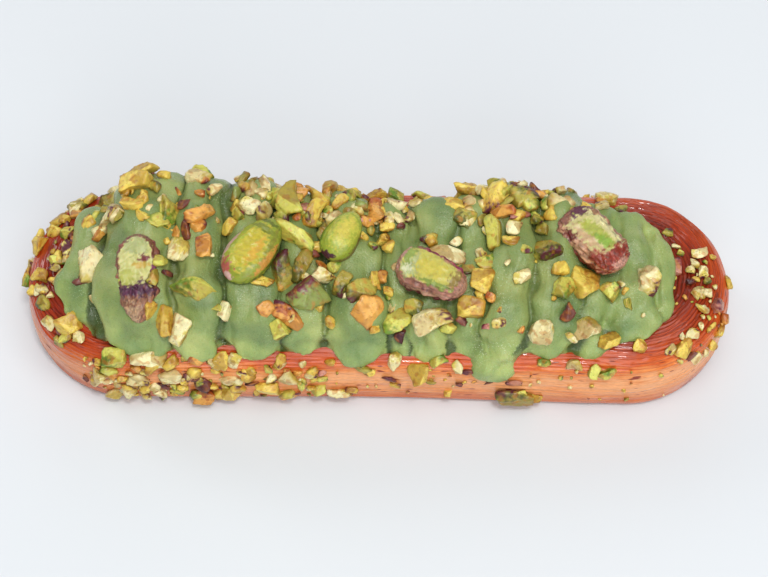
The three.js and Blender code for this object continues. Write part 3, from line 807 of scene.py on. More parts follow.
cream_shader = add(
    tree,
    "ShaderNodeBsdfPrincipled",
    {
        "Base Color": glinted.outputs[2],
        "Roughness": satin.outputs[0],
        "Normal": grain_bump.outputs[0],
    },
    Subsurface_Weight=0.12,
    Subsurface_Scale=0.001,
)
tree.links.new(cream_shader.outputs[0], output.inputs[0])
cream.data.materials.append(nut_cream)
print("cream material:", len(tree.nodes), "nodes")

# %% [markdown]
# ## Where nuts can lie
#
# A nut is seated by a ray: it starts far off, and where it first meets the dough or the cream
# the nut is set down, sunk in by a little more than a quarter of its thickness. The chance
# numbers come from a small generator that is written out here, so that the same nuts fall on
# the same spots every time.

# %% Seating helpers
FAR = 200
# Thickness over width, the share of it that is sunk in, and the most a nut leans, in degrees
THICK_SHARE, EMBEDDED, TUMBLE = 0.72, 0.28, 24
SLENDERNESS = (0.6, 0.85)
# The box starts larger than the nut, because each of its corners is drawn in by chance
CORNER_PULL, CORNER_REACH = 0.8, 1.32

dough_tree = BVHTree.FromPolygons(*[a.tolist() for a in joined([dough_surface(0 * layer_out)])])


def random_stream(seed):
    """Numbers from 0 to 1: each state is the last one times 1664525 plus 1013904223, kept to
    32 bits, and the first two are thrown away."""
    state = seed
    for drawn in range(-2, 10**9):
        state = (state * 1664525 + 1013904223) % 2**32
        if drawn >= 0:
            yield state / 2**32


def between(low, high, share):
    """The value a share of the way from low to high."""
    return low + (high - low) * share


def scatter(count, seed, start, end, lengths, spacing):
    """Nuts drawn by chance between two corners, a spacing apart from each other: x, y,
    length, width and turn of each."""
    random = random_stream(seed)
    drawn = []
    for _ in range(40 * count):
        if len(drawn) == count:
            break
        x = between(start[0], end[0], next(random))
        y = between(start[1], end[1], next(random))
        length = between(*lengths, next(random))
        width = length * between(*SLENDERNESS, next(random))
        turned = 180 * next(random)
        if all(np.hypot(other[0] - x, other[1] - y) > spacing for other in drawn):
            drawn.append((x, y, length, width, turned))
    return drawn


def resting_place(tree, start, towards, width):
    """Where a nut comes to rest: the first hit of a ray through its middle, and the mean of
    the normals that rays a third of its width to each side of it find."""
    spot, normal, _, _ = tree.ray_cast(Vector(start), Vector(towards))
    if spot is None:
        return None, None
    sideways = Vector(towards).orthogonal().normalized() * width / 3
    across = sideways.cross(Vector(towards))
    for offset in (sideways, -sideways, across, -across):
        near = tree.ray_cast(Vector(start) + offset, Vector(towards))[1]
        normal = normal + near if near else normal
    return spot, normal.normalized()


def seat(tree, nuts, towards, start_of, seed):
    """Seats each nut where its ray meets the surface: its eight pulled-in box corners, the
    turn of its axes, its centre and its kind. A nut whose ray meets nothing is left out."""
    seated = []
    for number, nut in enumerate(nuts):
        length, width, turned = nut[2:5]
        spot, normal = resting_place(tree, start_of(nut), towards, width)
        if spot is None:
            continue
        random = random_stream(seed + number)
        half = CORNER_REACH * np.array([length, width, width * THICK_SHARE]) / 2
        sides = [(x, y, z) for x in (-1, 1) for y in (-1, 1) for z in (-1, 1)]
        pulls = [[1 - CORNER_PULL * next(random) ** 2 for _ in range(3)] for _ in sides]
        leans = [np.radians(TUMBLE * (2 * next(random) - 1)) for _ in range(2)]
        upright = Vector((0, 0, 1)).rotation_difference(normal).to_matrix()
        axes = upright @ Euler((*leans, np.radians(turned))).to_matrix()
        centre = spot + normal * width * THICK_SHARE * (0.5 - EMBEDDED)
        kind = nut[5] if len(nut) > 5 else None
        seated.append((np.array(sides) * pulls * half, np.array(axes), np.array(centre), kind))
    return seated


def above(nut):
    """Start of a ray that falls from above."""
    return nut[0], nut[1], FAR


def in_front(nut):
    """Start of a ray that runs from the front to the back, at the nut's height."""
    return nut[0], -FAR, nut[1]


def behind(nut):
    """Start of a ray that runs from the back to the front, at the nut's height."""
    return nut[0], FAR, nut[1]


def at_right(nut):
    """Start of a ray that runs from the right to the left: nut holds y and height."""
    return FAR, nut[0], nut[1]


DOWN, TO_BACK, TO_FRONT, TO_LEFT = (0, 0, -1), (0, 1, 0), (0, -1, 0), (-1, 0, 0)

# %% [markdown]
# ## Whole kernels
#
# A shelled pistachio is blunt at one end and pointed at the other. Where it was cut or broken
# it shows yellow-green flesh inside a rim of papery dark red skin. Each of the five large ones
# is different, so each is listed with its place, its shape and its blotches of colour. A blotch
# is a soft, ragged oval: it has a place along the kernel, from -1 to 1, a place round it, from
# -2 over 0 on top to 2, a size each way and a colour.

# %% The five kernels
# Places and sizes are in millimetres, headings and pitches in degrees. full says how blunt the
# ends are, face how far above the middle the kernel was cut, and skin_to how much keeps skin.
KERNELS = [
    dict(
        at=(-48.8, -9.8, 31),
        size=(18.6, 8.4, 7.6),
        full=3,
        heading=-87,
        pitch=-20,
        face=2.2,
        skin="#84503f",
        flesh="#ccc97e",
        skin_to=0.28,
        wrinkled=1.6,
        paint=[
            (0.85, 0, 0.6, 2.5, "#8d6047"),
            (0.9, -0.3, 0.35, 0.5, "#b28e6b"),
            (0.75, 0.7, 0.4, 0.4, "#a06a4c"),
            (0.3, -0.1, 0.17, 0.9, "#572a42"),
            (-0.95, 0, 0.12, 1.2, "#8f6257"),
            (-0.2, -1.1, 0.9, 0.28, "#9a6456"),
            (-0.3, 1.1, 0.8, 0.24, "#7a3f42"),
            (-0.7, 0, 0.2, 0.5, "#b3b878"),
            (-0.4, 0.2, 0.09, 0.16, "#7a3c3c"),
            (-0.26, 0.1, 0.07, 0.3, "#c9aa4c"),
            (-0.16, 0.7, 0.14, 0.2, "#8c4a6c"),
            (0, -0.4, 0.2, 0.3, "#b9bb5c"),
        ],
    ),
    dict(
        at=(-25.4, -3.8, 33),
        size=(16.6, 9.6, 6.4),
        full=2.4,
        heading=56,
        pitch=6,
        face=2.4,
        skin="#929d30",
        flesh="#bab43a",
        skin_to=2,
        wrinkled=0.2,
        paint=[
            (0.2, 0.55, 1.2, 0.35, "#a9b33a"),
            (0, -0.05, 0.75, 0.4, "#c8b93c"),
            (-0.05, -0.2, 0.4, 0.14, "#d6ac3a"),
            (-0.1, -0.72, 0.5, 0.16, "#cf9640"),
            (0.45, -0.5, 0.4, 0.1, "#8c8a30"),
            (0.1, -1, 0.9, 0.06, "#5f6320"),
            (0.55, 0.1, 0.08, 0.7, "#7f8629"),
            (0.8, 0.1, 0.08, 1, "#6a7526"),
            (0.95, 0.1, 0.12, 1.5, "#8f9a3c"),
            (-0.35, 0.85, 0.7, 0.2, "#d3ada0"),
            (-0.88, 0.6, 0.24, 0.5, "#b85a54"),
            (-0.98, 0.3, 0.1, 0.5, "#dcb0a6"),
            (0.1, -1.5, 1.2, 0.4, "#4c5a1e"),
        ],
    ),
    dict(
        at=(-7.2, 0.4, 32.2),
        size=(12, 7.4, 6.4),
        full=2.6,
        heading=64,
        pitch=4,
        face=9,
        skin="#9cab38",
        flesh="#c9c24c",
        skin_to=2,
        wrinkled=0.3,
        paint=[
            (0.1, -0.1, 0.75, 0.55, "#c2c048"),
            (0.1, -0.1, 0.5, 0.25, "#d6c853"),
            (0, 1, 1, 0.3, "#6c8a2c"),
            (-0.98, 0.5, 0.14, 1, "#4f2733"),
            (0, -1.25, 1.2, 0.35, "#7e6a32"),
        ],
    ),
    dict(
        at=(11.4, -7.8, 30.8),
        size=(15.8, 8.8, 7.6),
        full=3.6,
        heading=-29,
        pitch=3,
        face=2.4,
        skin="#ab7460",
        flesh="#c6bf5a",
        skin_to=2,
        wrinkled=1.3,
        paint=[
            (0.05, -1.5, 1.2, 0.5, "#5f2a2c"),
            (0, -1.05, 0.9, 0.08, "#b98c72"),
            (-0.55, -0.2, 0.28, 0.45, "#b5bb7c"),
            (-0.6, -0.3, 0.14, 0.2, "#dcdcb0"),
            (0.05, 0, 0.45, 0.3, "#d0c250"),
            (-0.75, 0.2, 0.16, 0.5, "#8fa04a"),
            (0.35, -0.5, 0.5, 0.12, "#8a9a40"),
            (0.72, 0, 0.16, 0.4, "#97803f"),
            (0.1, 0.78, 0.8, 0.16, "#8f2c50"),
            (-0.9, 0, 0.1, 1, "#b18674"),
            (0.92, 0, 0.1, 1, "#a87a62"),
        ],
    ),
    dict(
        at=(45, 1.6, 29.6),
        size=(17.4, 9.8, 7.8),
        full=5,
        heading=-50,
        pitch=6,
        face=2.8,
        skin="#b17e5c",
        flesh="#d2c886",
        skin_to=2,
        wrinkled=1.6,
        paint=[
            (-0.2, -0.8, 0.8, 0.45, "#bf9270"),
            (0.1, -1.2, 0.7, 0.3, "#7c3a28"),
            (-0.85, 0, 0.22, 1.2, "#8d5a48"),
            (-0.72, 0.25, 0.16, 0.4, "#5c2a3c"),
            (-0.35, -0.55, 0.2, 0.22, "#702a22"),
            (0.1, 0.05, 0.6, 0.28, "#b0b54c"),
            (0.3, 0, 0.2, 0.2, "#8fae42"),
            (0.1, 0.5, 0.75, 0.2, "#dcd196"),
            (0, -0.22, 0.6, 0.1, "#d0ae80"),
            (0.82, -0.1, 0.2, 1.3, "#8c2f1c"),
            (0.55, -0.6, 0.2, 0.3, "#973a24"),
            (0.98, 0.1, 0.08, 1, "#c08a76"),
        ],
    ),
]


# %% [markdown]
# The break is made by holding the surface down under a rough level, and how far it was held
# down says where flesh shows. The blotches are laid on in order, as a painter would, into a
# colour for each point. An image would do the same, but this needs no unwrapping.

# %% Kernel shapes and paint
ENDING, TAPER = 0.58, 0.16
FLUTES, FLUTE_DEPTH = 5, 0.035
UNDER_SHARE = 0.88


def kernel_surface(kernel, number, rows=110, around=90):
    """An outline (1 - |s| ^ f) ^ 0.58, narrower towards the point, carried from s = -1 to 1
    as an oval with five faint flutes, then held down under the level of its broken face.
    Gives the points, and the share of flesh and the painter's two coordinates at each."""
    length, width, thick = kernel["size"]
    along = -np.cos(np.pi * np.linspace(0, 1, rows))[:, None] + np.zeros(around)
    angle = np.linspace(0, 2 * np.pi, around, endpoint=False)[None] + np.zeros((rows, 1))
    swell = (1 - np.abs(along) ** kernel["full"]) ** ENDING * (1 - TAPER * along)
    flute = 1 + FLUTE_DEPTH * np.cos(FLUTES * angle)
    x = along * length / 2
    y = width / 2 * swell * flute * np.cos(angle)
    z = thick / 2 * swell * flute * np.sin(angle)
    place_on_it = np.stack([x, y, z], -1)
    fibres = uneven(place_on_it * [0.16, 1, 1], 0.8, 60 + number)
    ragged = uneven(place_on_it, 1.6, 70 + number)
    broken = uneven(place_on_it * [1, 1, 0.3], 2.1, 80 + number)
    level = kernel["face"] + 0.16 * broken + 0.05 * uneven(place_on_it, 0.7, 90 + number)
    still_skinned = ease(-0.12, 0.12, along - kernel["skin_to"] + 0.06 * ragged)
    level = level + thick / 2 * still_skinned
    over = z - level
    cut = np.where(over > 0, level + 0.12 * np.tanh(over), z)
    flesh = ease(0.0, 0.25, over + 0.1 * ragged)
    wrinkles = 0.03 * fibres + 0.025 * ragged
    skin_relief = 1 + kernel["wrinkled"] * (1 - flesh) * wrinkles
    points = np.stack([x, y * skin_relief, np.where(over > 0, cut, z * skin_relief)], -1)
    turned = (np.pi / 2 - angle + np.pi) % (2 * np.pi) - np.pi
    return points, flesh, along, turned / (np.pi / 2)


def painted(kernel, number, points, flesh, along, around_it):
    """Skin colour, then flesh where it shows, then each ragged oval of paint in turn:
    full inside 0.8 of its size, gone outside 1.15, the edge shifted by noise."""
    colour = linear(kernel["skin"]) + 0 * points[..., :1]
    colour = colour + (linear(kernel["flesh"]) - colour) * flesh[..., None]
    ragged = 0.22 * uneven(points, 1.1, 100 + number) + 0.12 * uneven(points, 0.5, 110 + number)
    for s, a, size_s, size_a, paint in kernel["paint"]:
        away = np.hypot((along - s) / size_s, (around_it - a) / size_a) + ragged
        colour = colour + (linear(paint) - colour) * (1 - ease(0.8, 1.15, away))[..., None]
    fibres = uneven(points * [0.16, 1, 1], 0.5, 120 + number)
    streaky = 0.16 * kernel["wrinkled"] * (1 - flesh) * fibres
    colour[..., :3] *= 1 + (streaky + 0.05 * ragged)[..., None]
    return np.clip(colour, 0, 1)


def kernel_axes(kernel):
    """The kernel's own axes, one to a column: pitched, then turned to its heading."""
    turned = Euler((0, -np.radians(kernel["pitch"]), np.radians(kernel["heading"])))
    return np.array(turned.to_matrix())


def set_in_place(points, kernel):
    """Turned to its own axes, and moved to its centre."""
    return points @ kernel_axes(kernel).T + kernel["at"]


def pressed_down(points, kernel):
    """The cream gives way under a kernel: within its outline nothing stands above its middle."""
    axes = kernel_axes(kernel)
    local = (points - kernel["at"]) @ axes
    length, width, _ = kernel["size"]
    under = np.hypot(local[:, 0] / length, local[:, 1] / width) < UNDER_SHARE / 2
    local[:, 2] = np.where(under, np.minimum(local[:, 2], 0), local[:, 2])
    return local @ axes.T + kernel["at"]


# %% [markdown]
# Cream gives way under a kernel, so first its skin is lowered there, and no cream shows through
# a cut face. Then each kernel is made, painted and set in its place.

# %% Kernels in their beds of cream
for kernel in KERNELS:
    skin_points = pressed_down(skin_points, kernel)
skin.vertices.foreach_set("co", (skin_points * MM).ravel())
skin.update()

kernels = []
for number, kernel in enumerate(KERNELS, start=1):
    local, flesh, along, around_it = kernel_surface(kernel, number)
    tint = painted(kernel, number, local, flesh, along, around_it)
    whole = mesh_piece(f"whole_kernel_{number}", [set_in_place(local, kernel)], tint=tint)
    place(whole, "nut", f"kernel_{number}")
    kernels.append(whole)
    print("kernel", number, "share of flesh:", flesh.mean().round(2))

# %% [markdown]
# ## Nut flesh and skin
#
# The same finish serves kernels and chopped nuts. Its colour is the painted tint, with a
# mottle of about a millimetre. Nut flesh is dense and slightly oily, so it is satin, lets a
# little light through, and shows a broken grain, drawn at just under half a millimetre.

# %% Nut material
pistachio, tree, output = new_material("pistachio_flesh_and_skin")
in_nut = add(tree, "ShaderNodeTexCoord").outputs["Object"]
tint = add(tree, "ShaderNodeAttribute", attribute_name="tint").outputs["Color"]
mottle = add(tree, "ShaderNodeTexNoise", {"Vector": in_nut}, Scale=900, Detail=5)
lightness = add(tree, "ShaderNodeMapRange", {"Value": mottle.outputs[0]}, To_Min=0.62, To_Max=1.14)
nut_colour = add(
    tree, "ShaderNodeVectorMath", {0: tint, 3: lightness.outputs[0]}, operation="SCALE"
)
grain = add(tree, "ShaderNodeTexNoise", {"Vector": in_nut}, Scale=2200, Detail=4)
grain_bump = add(
    tree, "ShaderNodeBump", {"Height": grain.outputs[0]}, Strength=0.5, Distance=0.0002
)
oily = add(tree, "ShaderNodeMapRange", {"Value": mottle.outputs[0]}, To_Min=0.22, To_Max=0.5)
nut_shader = add(
    tree,
    "ShaderNodeBsdfPrincipled",
    {
        "Base Color": nut_colour.outputs[0],
        "Roughness": oily.outputs[0],
        "Normal": grain_bump.outputs[0],
    },
    Subsurface_Weight=0.08,
    Subsurface_Scale=0.0008,
)
tree.links.new(nut_shader.outputs[0], output.inputs[0])
for whole in kernels:
    whole.data.materials.append(pistachio)
print("nut material:", len(tree.nodes), "nodes")

# %% [markdown]
# ## Chopped nuts
#
# A chopped nut is a little block with broken sides and blunt edges. Each one starts as the hull
# of a box whose corners are drawn in by chance, and is then cut as a knife cuts it. Such a form
# can be written as one formula for its radius in every direction, and a power in that formula
# rounds its edges. The nuts are listed with their kind, because under the skin a pistachio goes
# from green to yellow to cream, and roasting turns some of it orange.

# %% The largest chopped nuts: x, y, length, width, turn and kind
LARGE_ON_CREAM = [
    (-50, 11, 5.8, 4.2, 0, "gold"),
    (-50, 15.5, 5.2, 3.5, 0, "gold"),
    (-38, 16.5, 6.5, 3.2, 5, "green"),
    (-37.5, 14, 5.5, 2.8, -15, "pale"),
    (-55, 5.5, 5.6, 3.7, -20, "pale"),
    (-43.5, 4.7, 6.4, 4.2, 100, "green"),
    (-36.7, 4.4, 7, 3.2, 33, "toasted"),
    (-36, -2.8, 5, 2.8, 105, "toasted"),
    (-40.3, -3.8, 5, 4.4, 80, "pale"),
    (-58.4, -3.7, 6.6, 6, 20, "pale"),
    (-37.8, -12.3, 8, 3.6, -5, "green"),
    (-43.2, -17.3, 6, 3.2, 110, "gold"),
    (-40, -18.2, 5.6, 4, 60, "pale"),
    (-19.2, 9, 6, 4.2, 105, "green"),
    (-14, 6, 6.2, 3.8, 85, "gold"),
    (-17, 0.8, 7.6, 5.6, -20, "green"),
    (-1, 8.3, 5.6, 3.6, 110, "toasted"),
    (-15.5, -6, 5.8, 3, 75, "olive"),
    (-19.4, -7.8, 7.2, 4, 110, "olive"),
    (-11, -7.2, 5.2, 4, 10, "pale"),
    (-14.8, -12, 6.4, 4.8, 30, "crimson"),
    (-3.2, -10.8, 5, 3.5, 20, "olive"),
    (-1.2, -14.5, 5.8, 5, 50, "toasted"),
    (-18, -15, 6, 3, -45, "toasted"),
    (4.2, -15, 5.4, 4, 20, "green"),
    (11.5, -15.5, 6, 5, 20, "pale"),
    (13.9, -1.6, 6.8, 3.8, -12, "pale"),
    (15.2, 11, 5, 3.6, -20, "gold"),
    (21.3, -8.3, 5, 4, 70, "gold"),
    (25, 11, 5.6, 4.6, 60, "gold"),
    (25.8, 7.6, 6, 2.6, 0, "toasted"),
    (24.7, 3, 6.2, 3, 85, "green"),
    (42.4, -7.3, 6.4, 5, 70, "gold"),
    (38.7, -9.2, 5, 3.4, 60, "green"),
    (56, -6, 5.8, 4.2, 100, "pale"),
    (34.7, -16.8, 5, 4.2, 60, "pale"),
    (43.3, -15.8, 5.4, 4.6, 20, "pale"),
]
LARGE_ON_RIM = [
    (-63.5, -14.4, 4.8, 4.2, 20, "gold"),
    (-72.4, 5.4, 5.6, 3, 65, "gold"),
    (-65.3, 14, 4, 2.4, 80, "pale"),
    (0, 19.2, 4.2, 2.4, 0, "gold"),
    (8.7, 18.8, 3.6, 2.4, 0, "green"),
    (49, 18.3, 4.4, 3, 10, "pale"),
    (64.2, -16.3, 4.2, 2.6, 70, "gold"),
]
# On the front wall the second number is the height above the floor
LARGE_ON_FRONT = [
    (-58.2, 11.5, 3.8, 3, 110, "pale"),
    (-54.2, 16.8, 4, 3.8, 0, "green"),
    (-47, 17, 5.6, 3.4, 0, "pale"),
    (-43.7, 12.1, 4.4, 3, 0, "pale"),
    (-30.6, 4.2, 4, 3, -40, "gold"),
    (-23.3, 7.6, 4.6, 3.4, 10, "gold"),
    (-18.2, 10.8, 4.2, 3.2, 60, "pale"),
    (9, 14, 5.2, 4.2, 80, "gold"),
    (29.8, 5.5, 6.4, 3.2, 0, "olive"),
]

# %% [markdown]
# The smaller nuts follow in the same way. Most of the cream's back and middle is thick with
# them, and so are both ends of the dough and the left half of its front wall.

# %% Smaller nuts, in the same columns
SMALL_ON_CREAM = [
    (-50.6, 6, 4, 2.6, 0, "gold"),
    (-59.8, 11.2, 4, 3.6, 0, "gold"),
    (-45.8, 2, 4, 2.8, -45, "green"),
    (-46, -15.9, 4, 2.4, 100, "gold"),
    (-21, 16.8, 5.2, 4, -30, "gold"),
    (-27.3, 7, 4.4, 3.4, -30, "pale"),
    (-30.4, 2.4, 4, 2.6, 60, "gold"),
    (-23.5, -10, 4, 2.2, -10, "gold"),
    (-7.1, -9.2, 4, 3.6, 60, "olive"),
    (-22.9, -15.2, 3.8, 2.6, 30, "toasted"),
    (-19.8, -17.4, 4, 3, 40, "green"),
    (-30.6, -15.2, 3.8, 3, -50, "pale"),
    (19.2, 15, 4.4, 3.6, -10, "gold"),
    (18.5, 7.4, 4.2, 3.6, 70, "olive"),
    (30.6, 11, 4.4, 3.8, 20, "olive"),
    (29.6, -8, 3.8, 2, 35, "pale"),
    (22.7, -3.4, 4.4, 3, 30, "green"),
    (19.6, -13.2, 4.4, 3.2, 0, "gold"),
    (7.9, -13.4, 4, 3, 0, "olive"),
    (-0.6, -8, 4, 2, 100, "gold"),
    (35.8, -1.4, 4.6, 4, -30, "olive"),
    (48.3, -16.4, 4.2, 3, 0, "gold"),
    (-58.4, 3.5, 3.8, 2.6, 75, "toasted"),
    (-11.3, 4, 3.6, 2.8, 60, "olive"),
    (1.5, 2.2, 3.4, 2.6, 10, "gold"),
    (25.2, 16.2, 3.6, 3, 0, "green"),
    (48.3, -8.3, 3.6, 2.8, -40, "green"),
]
SMALL_ON_RIM = [
    (-58.8, 15.5, 3.6, 2.4, 0, "olive"),
    (-56.5, 18.5, 3.2, 2.4, 20, "pale"),
    (-66.4, 7.6, 2.8, 2.4, 0, "green"),
    (-65.8, 3, 4.2, 2.2, 100, "pale"),
    (-64, 1.2, 3.2, 2.4, -30, "toasted"),
    (-68, 0.6, 2.6, 1.8, 10, "green"),
    (-71, -2.2, 3.2, 2.4, -20, "gold"),
    (-67.3, -3.4, 3, 2.2, 80, "pale"),
    (-68.6, -12.8, 2.8, 2.4, -30, "pale"),
    (-61.7, -17, 2.8, 2, -20, "pale"),
    (71.2, -7, 3.6, 3, 60, "pink"),
    (63, 1.4, 3, 2.2, 90, "pink"),
    (68.2, 4.6, 2.6, 2.2, 0, "pale"),
    (68.6, 0, 2.6, 2, 80, "pale"),
    (67.6, -4.8, 3, 1.8, 50, "pale"),
    (65.7, -13.6, 2.4, 2, 0, "pale"),
    (54.7, -17.4, 2.6, 2.2, 0, "gold"),
    (52, 14.6, 3, 2.6, 0, "olive"),
    (3.5, 18, 3, 2.8, 0, "green"),
]
SMALL_ON_FRONT = [
    (-50.2, 10.2, 4, 2, 0, "pale"),
    (-45.6, 5.2, 3, 2, 10, "pale"),
    (-36.5, 4, 4, 3.2, 60, "toasted"),
    (-37.5, 16.8, 3.6, 2.6, 0, "toasted"),
    (-32.3, 16.8, 4, 2.6, 90, "gold"),
    (-29.5, 16.4, 3.6, 2.4, 80, "pale"),
    (-31.2, 10, 3.4, 2.8, 10, "pale"),
    (-18.6, 3.8, 3.8, 2.4, 0, "toasted"),
    (-8, 4.6, 4, 2.6, 0, "pale"),
    (3.6, 16.8, 3, 2.4, 60, "pale"),
    (16.9, 15.4, 2.8, 2.4, 60, "pale"),
    (45.6, 15.8, 3, 2, 60, "green"),
    (48.1, 15.2, 3.4, 2, 20, "green"),
    (33.2, 3.6, 3.6, 2.2, 10, "gold"),
]
listed = LARGE_ON_CREAM, LARGE_ON_RIM, LARGE_ON_FRONT
print("large nuts on cream, rim and front:", [len(nuts) for nuts in listed])
listed = SMALL_ON_CREAM, SMALL_ON_RIM, SMALL_ON_FRONT
print("smaller nuts on cream, rim and front:", [len(nuts) for nuts in listed])

# %% [markdown]
# The smallest that can be told apart are bits: chips of nut, splinters and flakes of skin. They
# are listed too, as the eye soon notices a flake that is missing.

# %% Bits and flakes
BITS_ON_CREAM = [
    (-53, 3.9, 2.4, 2, 0, "olive"),
    (-61, 14.5, 2.6, 2.2, 30, "pale"),
    (-55, 14.6, 2.8, 2, 80, "pink"),
    (-44.6, -6.9, 3.2, 2.4, 70, "green"),
    (-45.4, -10.5, 3, 2.4, 80, "olive"),
    (-41.6, 1, 3, 2.4, 60, "toasted"),
    (-39.4, 0.5, 3.6, 2.2, 100, "skinned"),
    (-40.4, 6.8, 2.8, 2, 60, "skinned"),
    (-37, 0.8, 3, 2.2, 20, "toasted"),
    (-43.3, -8.9, 2.6, 1, 0, "skinned"),
    (-34.4, 10.4, 3.8, 1.8, 50, "pale"),
    (-33, -15.2, 2.2, 1.6, 0, "green"),
    (-58.2, -11, 2.2, 1.6, 0, "pale"),
    (-61.2, -7.3, 3.2, 1.2, 10, "skinned"),
    (-45.2, 17.4, 3.4, 1.2, -10, "skinned"),
    (-15.6, 16.2, 3.8, 2.8, 30, "skinned"),
    (-18, 14.6, 3, 2.4, 0, "toasted"),
    (-24, 12.8, 3.4, 2.8, 80, "pale"),
    (-16.7, 12, 3.2, 2.4, 20, "toasted"),
    (-25.6, 16, 3.4, 1.2, 0, "skinned"),
    (-29, 4.8, 2.4, 1.6, 60, "skinned"),
    (-11.5, -5.1, 3, 1.8, 0, "toasted"),
    (-14, -3, 3.2, 1.6, 0, "skinned"),
    (-12, 15.9, 3.4, 2.2, 10, "olive"),
    (-7.7, 15.2, 3, 2.4, 0, "gold"),
    (-4.8, 15, 3, 2.4, 40, "green"),
    (-2, 15.4, 2.6, 2, 0, "gold"),
    (-8, 10, 3, 2.2, 40, "gold"),
    (-6.8, 11.6, 2.2, 1.6, 0, "pink"),
    (-11.4, 10.6, 2.4, 1.6, 30, "pink"),
    (-10, 8.6, 2.6, 1.6, 70, "toasted"),
    (-10.6, 12.8, 2.6, 1.8, 0, "pale"),
    (-3.1, 5.4, 2.6, 2, 20, "pink"),
    (-1.2, -0.4, 2.8, 1.8, 80, "green"),
    (-3, 1.6, 2.4, 1.6, 0, "gold"),
    (1, -6.4, 2.4, 1.8, 70, "toasted"),
    (1.9, -9.8, 2.2, 2, 0, "gold"),
    (2.5, 7, 3.4, 2, 95, "pale"),
    (2.2, 4.6, 2.6, 2, 0, "gold"),
    (10.8, 2, 3.6, 1.6, 20, "olive"),
    (7.6, 12.4, 2.4, 1, 40, "olive"),
    (10.8, 15.6, 2, 1.8, 0, "gold"),
    (17.2, -3.6, 2.6, 2, 0, "gold"),
    (19.2, -5.6, 2.4, 2, 0, "olive"),
    (23.6, -11.8, 1.9, 1.6, 60, "toasted"),
    (-9.4, -16, 3.2, 2, 70, "gold"),
    (-0.3, -17.4, 2, 1.7, 0, "gold"),
    (5.2, -16.6, 2.6, 2, 60, "skinned"),
    (15, -16.4, 3.4, 2.6, 60, "green"),
    (28.4, 2.8, 3.2, 2.6, 80, "pale"),
    (27.6, 0, 2.8, 1.6, 0, "gold"),
    (29.6, 5.8, 4, 1.3, 20, "pink"),
    (29, 13.6, 2.6, 1.8, 0, "skinned"),
    (27, 12.6, 3, 2.4, 0, "green"),
    (22.6, 13, 3, 2.6, 50, "gold"),
    (33, 6.2, 3.4, 2.2, 30, "olive"),
    (34.6, 4.4, 2.8, 2.2, 70, "olive"),
    (33.4, 16.4, 3, 2.4, 0, "skinned"),
    (30.6, -2.2, 2.2, 1.8, 0, "green"),
    (37.9, -5.6, 3.4, 2.4, 10, "gold"),
    (36.5, 15.4, 2.6, 2.4, 0, "green"),
    (38.6, 14.6, 2.8, 2.2, 0, "pale"),
    (39.6, -14.2, 3.4, 2.4, 70, "skinned"),
    (51.9, -10.4, 2.2, 2, 0, "green"),
    (50.6, -6.8, 1.6, 1.4, 0, "pale"),
    (25.2, -16.6, 2.6, 2.2, 0, "pale"),
    (25.4, -14.4, 1.8, 1.4, 0, "gold"),
    (22.8, -17, 2.2, 1.2, 0, "pink"),
    (29.8, -17.2, 1.9, 1.2, 50, "toasted"),
    (40, -17.6, 2.6, 1.8, -50, "pale"),
    (47.6, 12.8, 2.6, 2, 0, "pale"),
]
BITS_ON_RIM = [
    (-70, 9, 2.4, 2, 0, "gold"),
    (-62.6, 16.8, 2.8, 2.2, 20, "gold"),
    (-67.6, 11.6, 2.4, 2, 40, "gold"),
    (-63.8, 5.4, 2.8, 2, 20, "toasted"),
    (-64.4, -2.2, 2, 1.5, 80, "skinned"),
    (-66.2, -15, 2.8, 1.6, 60, "skinned"),
    (-65, -16.4, 2.6, 1.8, 30, "green"),
    (66, -2, 2, 1.4, 20, "skinned"),
    (66.2, 0.9, 1.7, 1.5, 0, "pale"),
    (67.2, 2.2, 2.6, 1.6, -40, "pale"),
    (69.7, -4.7, 2.2, 1.8, 0, "pale"),
    (68.4, -8.4, 2.4, 1.8, 0, "pale"),
    (61.4, -17.6, 2.4, 1.6, 60, "pale"),
    (67.2, -16.8, 2.2, 1.8, 60, "pale"),
    (66, -17.2, 2.4, 1.4, 100, "skinned"),
    (61.7, 9.8, 2.4, 1.8, 0, "olive"),
    (63.4, 6.4, 2, 1.2, 0, "pale"),
    (13.5, 17.6, 3, 1.8, 0, "pink"),
    (19, 18.4, 2.4, 1.8, 20, "gold"),
    (47.8, 17.2, 2.4, 1.8, 0, "toasted"),
]
